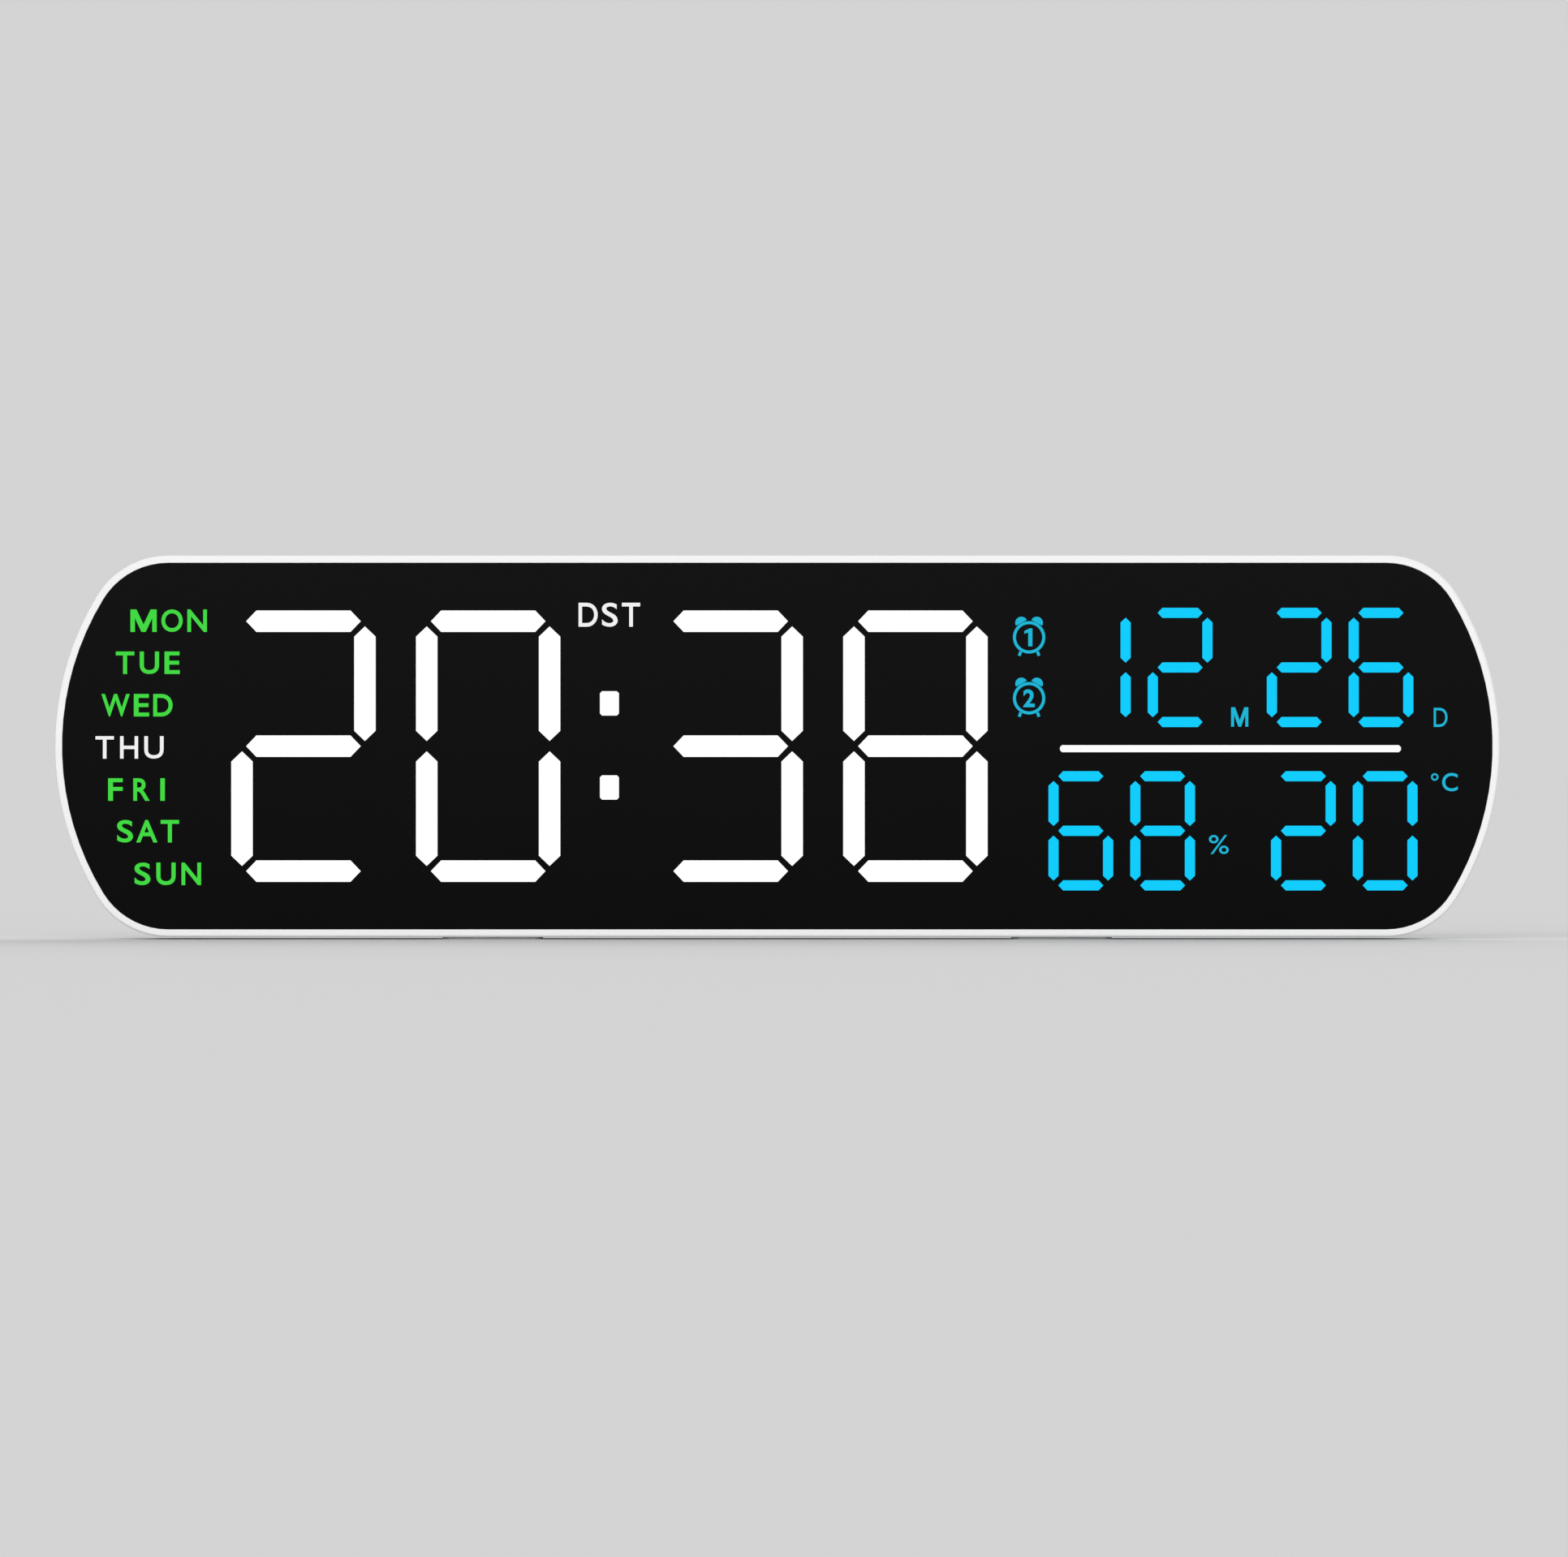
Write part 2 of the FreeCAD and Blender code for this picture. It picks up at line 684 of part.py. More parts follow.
def tapered_cell(outline, taper):
    """The space of one light cell.  The outline is a function of the margin round it."""
    narrower = f"cell_margin - tray_depth * tan({taper})"
    rings = []
    for margin, depth in (("cell_margin", LEDGE_BACK), (narrower, BOARD_FRONT)):
        rings.append([FreeCAD.Vector(number(across), number(depth), number(f"{MIDDLE} + {up}"))
                      for across, up in outline(margin)])
    front, back = rings
    faces = [Part.Face(Part.makePolygon(ring + ring[:1])) for ring in rings]
    for index in range(len(front)):
        side = [front[index - 1], front[index], back[index], back[index - 1]]
        faces.append(Part.Face(Part.makePolygon(side + side[:1])))
    shell = Part.makeShell(faces)
    shell.sewShape()
    return Part.makeSolid(shell)


def light_tray():
    """A white reflector: a tapered cell runs from each stroke down to its own lamp."""
    body = new_body("tray_blank", is_piece=False)
    sketch = display_sketch(body, BOARD_FRONT)
    tray_outline(sketch)
    pad(body, sketch, "tray_depth")
    spaces = []
    for digit in DIGITS.values():
        style = digit[0]
        for x, z, is_upright in strokes(digit):
            place = (style, x, z, is_upright)
            spaces.append(tapered_cell(lambda margin, at=place: stroke_corners(*at, margin), style["taper"]))
    for mark in MARK_CELLS + COLON_CELLS + [DIVIDER_CELL]:
        spaces.append(tapered_cell(lambda margin, at=mark: box_corners(*at, margin), "small_taper"))
    cells = doc.addObject("Part::Feature", "tray_cells")
    cells.Shape = Part.Compound(spaces)
    tray = doc.addObject("Part::Cut", "light_tray")
    tray.Label = "light_tray"
    tray.Base = body
    tray.Tool = cells
    PIECES.append(tray)


def led_board():
    body = new_body("led_board")
    sketch = display_sketch(body, BOARD_BACK)
    tray_outline(sketch)
    pad(body, sketch, "board_thick")


def segment_leds():
    """The lamps on the front of the board, at the bottom of the tray's cells."""
    lamps = []

    def lamp(x, z, width, height):
        front = f"({BOARD_FRONT} - led_height)"
        lamps.append(block(f"lamp_{len(lamps)}", x, front, z, width, "led_height", height, is_piece=False))

    for digit in DIGITS.values():
        style = digit[0]
        long, short = style["lamp_long"], style["lamp_short"]
        for x, z, is_upright in strokes(digit):
            if is_upright:
                lamp(x, f"{z} + {style['pitch_z']} / 2", short, long)
            else:
                lamp(f"{x} + {style['pitch_x']} / 2", z, long, short)
    for x, z, _, _ in MARK_CELLS + COLON_CELLS:
        lamp(x, z, "small_led_long", "small_led_short")
    for share in (-1, 0, 1):
        lamp(f"divider_x + {share} * divider_length / 3", "divider_z", "small_led_long", "small_led_short")
    together = doc.addObject("Part::Compound", "segment_leds")
    together.Label = "segment_leds"
    together.Links = lamps
    PIECES.append(together)


# ---------------------------------------------------------------- housing

def front_frame():
    """The front moulding: rim, seat for the face, ledge, side wall and screw bosses."""
    body = new_body("front_frame")
    sketch = display_sketch(body, PARTING)
    housing_outline(sketch)
    pad(body, sketch, "frame_depth")
    bevel_edges(body, "rim_bevel", lambda edge: lies_at(edge, "Y", FRONT))
    bevel_edges(body, "seam_bevel", lambda edge: lies_at(edge, "Y", PARTING))
    sketch = display_sketch(body, PANEL_BACK)
    housing_outline(sketch, "rim_width")
    pocket(body, sketch, "panel_thick + rim_proud")
    sketch = display_sketch(body, LEDGE_BACK)
    tray_outline(sketch, "tray_gap")
    pocket(body, sketch, "diffuser_thick")
    sketch = display_sketch(body, LEDGE_BACK)
    housing_outline(sketch, "rim_width")
    pocket(body, sketch, f"{PARTING} - {LEDGE_BACK}", to_front=False)
    sketch = display_sketch(body, LEDGE_BACK)
    rectangle(sketch, "-case_screw_x", "-screw_row_z", "case_boss_size", "case_boss_size")
    boss = pad(body, sketch, f"{BOSS_TOP} - {LEDGE_BACK}", to_front=False)
    sketch = display_sketch(body, BOSS_TOP)
    octagon(sketch, "-case_screw_x", "-screw_row_z", "case_pilot")
    hole = pocket(body, sketch, f"{BOSS_TOP} - {LEDGE_BACK}")
    grid(body, [boss, hole], sketch, "case_screw_x", 3, "2 * screw_row_z", 2)
    pad_recess(body, "front_pad_y", "front_pad_width")


def pad_recess(body, y, width):
    """Two shallow recesses in the bottom of a shell, for the resting pads."""
    sketch = floor_sketch(body, "pad_proud + pad_sink")
    cut_corners(sketch, "-pad_x", y, "pad_length + 2 * pad_gap", f"{width} + 2 * pad_gap", f"{width} / 3")
    recess = pocket(body, sketch, "pad_proud + pad_sink", to_front=False)
    grid(body, [recess], sketch, "2 * pad_x", 2)


def base_pads():
    body = new_body("base_pads")
    for y, width in (("front_pad_y", "front_pad_width"), ("rear_pad_y", "rear_pad_width")):
        sketch = floor_sketch(body, "0")
        cut_corners(sketch, "-pad_x", y, "pad_length", width, f"{width} / 3")
        grid(body, [pad(body, sketch, "pad_proud + pad_sink")], sketch, "2 * pad_x", 2)


def cover_shell(body):
    """The rear cover's outer wall, hollow inside, with tabs that enter the front frame."""
    sketch = display_sketch(body, REAR)
    housing_outline(sketch)
    pad(body, sketch, f"{REAR} - {PARTING}")
    bevel_edges(body, "back_bevel", lambda edge: lies_at(edge, "Y", REAR))
    bevel_edges(body, "seam_bevel", lambda edge: lies_at(edge, "Y", PARTING))
    sketch = display_sketch(body, COVER_INSIDE)
    housing_outline(sketch, "cover_side")
    pocket(body, sketch, f"{COVER_INSIDE} - {PARTING}")
    tab_z = "(clock_height / 2 - rim_width - fit_gap - tab_thick / 2)"
    sketch = display_sketch(body, COVER_INSIDE)
    rectangle(sketch, "-tab_x", f"-{tab_z}", "tab_length", "tab_thick")
    tab = pad(body, sketch, f"{COVER_INSIDE} - {PARTING} + tab_depth")
    grid(body, [tab], sketch, "2 * tab_x", 2, f"2 * {tab_z}", 2)
    sketch = display_sketch(body, COVER_INSIDE)
    rectangle(sketch, "-post_x", "-post_z", "post_size", "post_size")
    post = pad(body, sketch, f"{COVER_INSIDE} - {BOARD_BACK}")
    grid(body, [post], sketch, "2 * post_x", 2, "2 * post_z", 2)


def cover_bosses(body):
    """Screw columns, with a deep recess for each head."""
    sketch = display_sketch(body, COVER_INSIDE)
    rectangle(sketch, "-case_screw_x", "-screw_row_z", "case_column", "case_column")
    column = pad(body, sketch, f"{COVER_INSIDE} - {BOSS_TOP}")
    sketch = display_sketch(body, REAR)
    octagon(sketch, "-case_screw_x", "-screw_row_z", "case_recess")
    recess = pocket(body, sketch, "case_floor")
    sketch = display_sketch(body, REAR)
    octagon(sketch, "-case_screw_x", "-screw_row_z", "case_hole")
    hole = pocket(body, sketch, f"{REAR} - {BOSS_TOP}")
    grid(body, [column, recess, hole], sketch, "case_screw_x", 3, "2 * screw_row_z", 2)


def cover_keyholes(body):
    """Two keyholes over closed pockets, so that a wall screw can't reach the circuit board."""
    height = "(keyhole_space_width + keyhole_rise)"
    middle = "(keyhole_z + keyhole_rise / 2)"
    sketch = display_sketch(body, COVER_INSIDE)
    rectangle(sketch, "-keyhole_x", middle, "keyhole_space_width + 2 * keyhole_wall",
              f"{height} + 2 * keyhole_wall")
    box = pad(body, sketch, "keyhole_space + keyhole_wall")
    sketch = display_sketch(body, COVER_INSIDE)
    rectangle(sketch, "-keyhole_x", middle, "keyhole_space_width", height)
    space = pocket(body, sketch, "keyhole_space")
    sketch = display_sketch(body, REAR)
    circle(sketch, "-keyhole_x", "keyhole_z", "keyhole_entry")
    entry = pocket(body, sketch, "cover_wall")
    sketch = display_sketch(body, REAR)
    cut_corners(sketch, "-keyhole_x", middle, "keyhole_neck", "keyhole_rise + keyhole_neck",
                "keyhole_neck * 0.29")
    neck = pocket(body, sketch, "cover_wall")
    grid(body, [box, space, entry, neck], sketch, "2 * keyhole_x", 2)


def cover_leg_bays(body):
    """Two bays for the folded legs, open at the bottom, with deeper ends for the knuckles."""
    bay_width = "(leg_width + 2 * leg_gap)"
    bay_floor = f"({LEG_FRONT} - leg_gap)"
    bay_top = f"({HINGE_Z} + leg_length + leg_gap + leg_finger - {MIDDLE})"
    knuckle_floor = f"({HINGE_Y} - knuckle_round / 2 - leg_gap)"
    knuckle_top = f"({HINGE_Z} + knuckle_round / 2 + leg_gap - {MIDDLE})"
    under = f"(0 - {MIDDLE})"
    base = f"(pad_proud + cover_side / 2 - {MIDDLE})"
    made = []
    for floor, top, wall in ((bay_floor, bay_top, "bay_wall"), (knuckle_floor, knuckle_top, "bay_wall")):
        sketch = display_sketch(body, COVER_INSIDE)
        top_wall = f"({top} + {wall})"
        rectangle(sketch, "-leg_x", f"({top_wall} + {base}) / 2", f"{bay_width} + 2 * bay_side",
                  f"{top_wall} - {base}")
        made.append(pad(body, sketch, f"{COVER_INSIDE} - {floor} + {wall}"))
    for floor, top in ((bay_floor, bay_top), (knuckle_floor, knuckle_top)):
        sketch = display_sketch(body, REAR)
        rectangle(sketch, "-leg_x", f"({top} + {under}) / 2", bay_width, f"{top} - {under}")
        made.append(pocket(body, sketch, f"{REAR} - {floor}"))
    grid(body, made, sketch, "2 * leg_x", 2)
    for side in ("-leg_x", "leg_x"):
        end = f"({side} - {bay_width} / 2 - leg_pin_grip)"
        sketch = side_sketch(body, end)
        octagon(sketch, HINGE_Y, HINGE_Z, "leg_pin + leg_pin_gap")
        pocket(body, sketch, f"{bay_width} + 2 * leg_pin_grip")


def cover_battery_well(body):
    """A well for the coin cell, a seat for its door and slots for the door's tongues."""
    below = "(tongue_length + 2 * fit_gap + well_wall / 2)"
    outer = "(well_width + 2 * well_wall)"
    sketch = display_sketch(body, COVER_INSIDE)
    rectangle(sketch, "door_x", f"door_z - {below} / 2", outer, f"{outer} + {below}")
    pad(body, sketch, f"{COVER_INSIDE} - well_floor_y")
    sketch = display_sketch(body, REAR)
    cut_corners(sketch, "door_x", "door_z", "door_width + 2 * fit_gap", "door_height + 2 * fit_gap",
                "door_corner")
    pocket(body, sketch, "door_thick")
    sketch = display_sketch(body, DOOR_INSIDE)
    rectangle(sketch, "door_x", "door_z", "well_width", "well_width")
    pocket(body, sketch, f"{DOOR_INSIDE} - {WELL_FLOOR}")
    low = f"({DOOR_BOTTOM} - tongue_length - 2 * fit_gap)"
    high = "(door_z - well_width / 2)"
    sketch = display_sketch(body, DOOR_INSIDE)
    for sign in ("-", "+"):
        rectangle(sketch, f"door_x {sign} tongue_pitch / 2", f"({low} + {high}) / 2",
                  "tongue_width + 2 * fit_gap", f"{high} - {low}")
    pocket(body, sketch, f"{DOOR_INSIDE} - ({REAR} - tongue_space)")
    sketch = display_sketch(body, WELL_FLOOR)
    for sign in ("-", "+"):
        rectangle(sketch, f"door_x {sign} contact_spacing / 2", "door_z", "contact_width", "contact_thick")
    pocket(body, sketch, "well_bottom")


def cover_key_field(body):
    """A recessed field with a hole for each key."""
    long, high = "key_recess_long", "key_recess_high"
    sketch = display_sketch(body, COVER_INSIDE)
    rectangle(sketch, "key_x", "key_z", f"{long} + 2 * key_floor", f"{high} + 2 * key_floor")
    pad(body, sketch, f"{COVER_INSIDE} - {KEY_INSIDE}")
    sketch = display_sketch(body, REAR)
    cut_corners(sketch, "key_x", "key_z", long, high, f"{high} * 0.29")
    pocket(body, sketch, "key_recess_depth")
    sketch = display_sketch(body, KEY_FLOOR)
    key_outline(sketch, "key_x - 2 * key_pitch", "key_gap")
    hole = pocket(body, sketch, "key_floor")
    grid(body, [hole], sketch, "key_pitch", 5)


def cover_openings(body):
    """The recess for the plug, the vents and the sound holes."""
    sketch = display_sketch(body, COVER_INSIDE)
    wall = "2 * plug_recess_wall"
    rectangle(sketch, "socket_x", "socket_z", f"plug_recess_width + {wall}", f"plug_recess_high + {wall}")
    pad(body, sketch, f"{COVER_INSIDE} - {SOCKET_MOUTH} + plug_recess_wall")
    sketch = display_sketch(body, REAR)
    cut_corners(sketch, "socket_x", "socket_z", "plug_recess_width", "plug_recess_high", "plug_recess_corner")
    pocket(body, sketch, "plug_recess_depth")
    sketch = display_sketch(body, SOCKET_MOUTH)
    cut_corners(sketch, "socket_x", "socket_z", "socket_width + 2 * socket_gap",
                "socket_high + 2 * socket_gap", "(socket_high + 2 * socket_gap) * 0.29")
    pocket(body, sketch, "plug_recess_wall")
    for x, z, width, length, step, count in (
        ("vent_x", "vent_z", "vent_width", "vent_length", "vent_pitch", "vent_count"),
        ("buzzer_x", "buzzer_z", "sound_width", "sound_length", "sound_pitch", "sound_count"),
    ):
        sketch = display_sketch(body, REAR)
        rectangle(sketch, f"{x} - ({count} - 1) * {step} / 2", z, width, length)
        grid(body, [pocket(body, sketch, "cover_wall")], sketch, step, int(SIZES[count]))


def rear_cover():
    body = new_body("rear_cover")
    cover_shell(body)
    cover_bosses(body)
    cover_keyholes(body)
    cover_leg_bays(body)
    cover_battery_well(body)
    cover_key_field(body)
    cover_openings(body)
    pad_recess(body, "rear_pad_y", "rear_pad_width")


# ---------------------------------------------------------------- stand legs

def stand_leg(name, x):
    """A flat leg with a round knuckle at its foot end, hollowed on its hidden side."""
    body = new_body(name)
    left, right = f"({x} - leg_width / 2)", f"({x} + leg_width / 2)"
    top = f"({HINGE_Z} + leg_length)"
    sketch = side_sketch(body, left)
    polygon(sketch, [(LEG_FRONT, HINGE_Z), (LEG_BACK, HINGE_Z), (LEG_BACK, top), (LEG_FRONT, top)])
    pad(body, sketch, "leg_width")
    sketch = side_sketch(body, left)
    circle(sketch, HINGE_Y, HINGE_Z, "knuckle_round")
    pad(body, sketch, "leg_width")

    def is_end_corner(edge):
        return lies_at(edge, "Z", top) and (lies_at(edge, "X", left) or lies_at(edge, "X", right))

    bevel_edges(body, "leg_corner", is_end_corner)
    sketch = side_sketch(body, left)
    circle(sketch, HINGE_Y, HINGE_Z, "leg_pin + 2 * leg_pin_gap")
    pocket(body, sketch, "leg_width")
    sketch = display_sketch(body, LEG_FRONT)
    hollow = "((leg_width - 3 * leg_rib) / 2)"
    middle = f"({top} - {MIDDLE} - leg_hollow_length / 2 - 2 * leg_corner)"
    for sign in ("-", "+"):
        rectangle(sketch, f"{x} {sign} ({hollow} + leg_rib) / 2", middle, hollow, "leg_hollow_length")
    pocket(body, sketch, "leg_hollow", to_front=False)
    sketch = display_sketch(body, LEG_BACK)
    pad_z = f"({top} - {MIDDLE} - leg_pad_end - leg_pad_length / 2)"
    cut_corners(sketch, x, pad_z, "leg_pad_width + 2 * pad_gap", "leg_pad_length + 2 * pad_gap",
                "leg_corner / 2")
    pocket(body, sketch, "leg_pad_thick - leg_pad_proud")


def leg_pad(name, x):
    body = new_body(name)
    sketch = display_sketch(body, REAR)
    pad_z = f"({HINGE_Z} + leg_length - {MIDDLE} - leg_pad_end - leg_pad_length / 2)"
    cut_corners(sketch, x, pad_z, "leg_pad_width", "leg_pad_length", "leg_corner / 2")
    pad(body, sketch, "leg_pad_thick")


def leg_pin(name, x):
    """The steel pin that a leg turns on, pressed into both sides of its bay."""
    pin = doc.addObject("Part::Cylinder", name)
    pin.Label = name
    length = "(leg_width + 2 * leg_gap + 2 * leg_pin_grip)"
    pin.setExpression("Radius", sized("leg_pin / 2"))
    pin.setExpression("Height", sized(length))
    pin.Placement.Rotation = FreeCAD.Rotation(FreeCAD.Vector(0, 1, 0), 90)
    pin.setExpression("Placement.Base.x", sized(f"{x} - {length} / 2"))
    pin.setExpression("Placement.Base.y", sized(HINGE_Y))
    pin.setExpression("Placement.Base.z", sized(HINGE_Z))
    PIECES.append(pin)


# ---------------------------------------------------------------- battery

def battery_door():
    """A flush door that tilts out about its lower edge, held there by two tongues."""
    body = new_body("battery_door")
    sketch = display_sketch(body, REAR)
    cut_corners(sketch, "door_x", "door_z", "door_width", "door_height", "door_corner")
    pad(body, sketch, "door_thick")
    sketch = display_sketch(body, f"{DOOR_INSIDE} - tongue_drop")
    low = f"({DOOR_BOTTOM} - tongue_length)"
    high = f"({DOOR_BOTTOM} + tongue_length)"
    for sign in ("-", "+"):
        rectangle(sketch, f"door_x {sign} tongue_pitch / 2", f"({low} + {high}) / 2",
                  "tongue_width", f"{high} - {low}")
    pad(body, sketch, "tongue_thick")
    sketch = display_sketch(body, DOOR_INSIDE)
    for sign in ("-", "+"):
        rectangle(sketch, f"door_x {sign} tongue_pitch / 2", f"({DOOR_BOTTOM} + {high}) / 2 + fit_gap",
                  "tongue_width", f"{high} - {DOOR_BOTTOM} - 2 * fit_gap")
    pad(body, sketch, "tongue_drop")
    sketch = display_sketch(body, REAR)
    finger_z = "(door_z + door_height / 2 - door_finger / 1.5)"
    cut_corners(sketch, "door_x", finger_z, "2 * door_finger", "door_finger / 1.5", "door_finger / 3.2")
    pocket(body, sketch, "door_finger_depth")


def coin_cell():
    """The coin cell, in its holder at the bottom of the well."""
    body = new_body("coin_cell_holder")
    sketch = display_sketch(body, WELL_FLOOR)
    rectangle(sketch, "door_x", "door_z", "holder_size", "holder_size")
    pad(body, sketch, "holder_height", to_front=False)
    sketch = display_sketch(body, f"{WELL_FLOOR} + holder_floor")
    octagon(sketch, "door_x", "door_z", "cell_round + 2 * holder_gap")
    pocket(body, sketch, "holder_height", to_front=False)
    sketch = display_sketch(body, WELL_FLOOR)
    for sign in ("-", "+"):
        rectangle(sketch, f"door_x {sign} contact_spacing / 2", "door_z", "contact_width", "contact_thick")
    pocket(body, sketch, "holder_floor", to_front=False)
    body = new_body("coin_cell")
    sketch = display_sketch(body, f"{WELL_FLOOR} + holder_floor")
    circle(sketch, "door_x", "door_z", "cell_round")
    pad(body, sketch, "cell_thick", to_front=False)


def battery_contacts():
    """Two strips that run from the coin cell through the well's floor to the board."""
    body = new_body("battery_contacts")
    sketch = display_sketch(body, BOARD_BACK)
    for sign in ("-", "+"):
        rectangle(sketch, f"door_x {sign} contact_spacing / 2", "door_z", "contact_width", "contact_thick")
    pad(body, sketch, f"{WELL_FLOOR} + holder_floor - {BOARD_BACK}", to_front=False)


# ---------------------------------------------------------------- keys

def key_outline(sketch, x, gap="0"):
    """A key's outline, moved out by the gap."""
    high = f"(key_short + 2 * ({gap}))"
    cut_corners(sketch, x, "key_z", f"key_long + 2 * ({gap})", high, f"(key_corner + 0.6 * ({gap}))")


KEYS = ["light_key", "alarm_key", "down_key", "up_key", "set_key"]


def key_place(index):
    return f"(key_x + {index - 2} * key_pitch)"


def key(name, index):
    """A key: bevelled cap, flange that keeps it in the cover, and the stem to its switch."""
    body = new_body(name)
    x = key_place(index)
    flange_back = f"({KEY_INSIDE} - key_flange_gap)"
    sketch = display_sketch(body, f"{KEY_FLOOR} + key_proud")
    key_outline(sketch, x)
    pad(body, sketch, f"{KEY_FLOOR} + key_proud - {flange_back}")
    bevel_edges(body, "key_bevel", lambda edge: lies_at(edge, "Y", f"{KEY_FLOOR} + key_proud"))
    sketch = display_sketch(body, flange_back)
    key_outline(sketch, x, "key_flange")
    pad(body, sketch, "key_flange_thick")
    sketch = display_sketch(body, f"{flange_back} - key_flange_thick")
    rectangle(sketch, x, "key_z", "key_stem", "key_stem")
    pad(body, sketch, f"{flange_back} - key_flange_thick - {PLUNGER_TOP}")


def switch_plunger(index):
    body = new_body(f"switch_plunger_{index + 1}")
    sketch = display_sketch(body, PLUNGER_TOP)
    rectangle(sketch, key_place(index), "key_z", "plunger_size", "plunger_size")
    pad(body, sketch, "plunger_height + plunger_deep")


def tact_switches():
    """The five switches on the board, each with a bore for its plunger."""
    body = new_body("tact_switches")
    x = key_place(0)
    sketch = display_sketch(body, BOARD_BACK)
    rectangle(sketch, x, "key_z", "switch_size", "switch_size")
    case = pad(body, sketch, "switch_height", to_front=False)
    sketch = display_sketch(body, SWITCH_TOP)
    rectangle(sketch, x, "key_z", "plunger_size + 2 * plunger_gap", "plunger_size + 2 * plunger_gap")
    bore = pocket(body, sketch, "plunger_deep + plunger_travel")
    grid(body, [case, bore], sketch, "key_pitch", 5)


# ---------------------------------------------------------------- electronics

def usb_socket():
    """An upright supply socket: a thin shell with a tongue, on a square base."""
    body = new_body("usb_socket")
    x, z = "socket_x", "socket_z"
    sketch = display_sketch(body, BOARD_BACK)
    cut_corners(sketch, x, z, "socket_width", "socket_high", "socket_high * 0.29")
    pad(body, sketch, f"{SOCKET_MOUTH} - {BOARD_BACK}", to_front=False)
    sketch = display_sketch(body, SOCKET_MOUTH)
    inner_high = "(socket_high - 2 * socket_wall)"
    cut_corners(sketch, x, z, "socket_width - 2 * socket_wall", inner_high, f"{inner_high} * 0.29")
    rectangle(sketch, x, z, "socket_tongue_width", "socket_tongue_high")
    pocket(body, sketch, f"{SOCKET_MOUTH} - {BOARD_BACK} - socket_base")
    sketch = display_sketch(body, SOCKET_MOUTH)
    rectangle(sketch, x, z, "socket_tongue_width", "socket_tongue_high")
    pocket(body, sketch, "socket_tongue_back")
    sketch = display_sketch(body, BOARD_BACK)
    rectangle(sketch, x, z, "socket_width", "socket_high + 2 * socket_base")
    pad(body, sketch, "socket_base", to_front=False)


def buzzer():
    body = new_body("buzzer")
    sketch = display_sketch(body, BOARD_BACK)
    octagon(sketch, "buzzer_x", "buzzer_z", "buzzer_round")
    pad(body, sketch, "buzzer_height", to_front=False)


def driver_chips():
    body = new_body("driver_chips")
    sketch = display_sketch(body, BOARD_BACK)
    rectangle(sketch, "-1.5 * driver_pitch", "driver_z", "driver_long", "driver_short")
    grid(body, [pad(body, sketch, "driver_height", to_front=False)], sketch, "driver_pitch", 4)


def clock_crystal():
    body = new_body("clock_crystal")
    sketch = display_sketch(body, BOARD_BACK)
    cut_corners(sketch, "control_x", "crystal_z", "crystal_long", "crystal_short", "crystal_short * 0.29")
    pad(body, sketch, "crystal_height", to_front=False)


def supply_capacitors():
    body = new_body("supply_capacitors")
    sketch = display_sketch(body, BOARD_BACK)
    octagon(sketch, "capacitor_x", "socket_z", "capacitor_round")
    can = pad(body, sketch, "capacitor_height", to_front=False)
    grid(body, [can], sketch, "capacitor_pitch", 2)


# ---------------------------------------------------------------- screws

def case_screws():
    """Six screws in two rows that hold the rear cover on the front frame."""
    body = new_body("case_screws")
    sketch = display_sketch(body, CASE_SEAT)
    octagon(sketch, "-case_screw_x", "-screw_row_z", "case_head")
    head = pad(body, sketch, "case_head_height", to_front=False)
    sketch = display_sketch(body, CASE_SEAT)
    octagon(sketch, "-case_screw_x", "-screw_row_z", "case_shank")
    shank = pad(body, sketch, "case_shank_length")
    grid(body, [head, shank], sketch, "case_screw_x", 3, "2 * screw_row_z", 2)


# ---------------------------------------------------------------- assembly

windows = [digit_piece(name, digit) for name, digit in DIGITS.items()]
windows += [colon_dots(), divider_bar()]
front_frame()
face_panel(windows)
diffuser_sheet()
light_tray()
led_board()
segment_leds()
rear_cover()
base_pads()
for side_name, side_x in (("left", "-leg_x"), ("right", "leg_x")):
    stand_leg(f"stand_leg_{side_name}", side_x)
    leg_pad(f"leg_pad_{side_name}", side_x)
    leg_pin(f"leg_pin_{side_name}", side_x)
battery_door()
coin_cell()
battery_contacts()
for key_index, key_name in enumerate(KEYS):
    key(key_name, key_index)
    switch_plunger(key_index)
tact_switches()
usb_socket()
buzzer()
driver_chips()
clock_crystal()
supply_capacitors()
block("control_chip", "control_x", BOARD_BACK, "control_z", "control_size", "control_height", "control_size")
block("climate_sensor", "vent_x", BOARD_BACK, "vent_z", "sensor_size", "sensor_height", "sensor_size")
case_screws()
doc.recompute()

# ---------------------------------------------------------------- checks and files

for item in doc.Objects:
    if "Invalid" in item.State or "Error" in item.State:
        raise RuntimeError(f"{item.Label} failed: {item.State}")
    if item.TypeId == "PartDesign::Pocket" and item.Shape.Volume >= item.BaseFeature.Shape.Volume - 1e-6:
        raise RuntimeError(f"{item.Name} cuts nothing")
for piece in PIECES:
    if piece.Shape.isNull() or not piece.Shape.isValid():
        raise RuntimeError(f"{piece.Label} has no valid shape")

os.makedirs("parts", exist_ok=True)
for piece in PIECES:
    piece.Shape.exportStep(f"parts/{piece.Label}.step")
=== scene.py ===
import json
import math

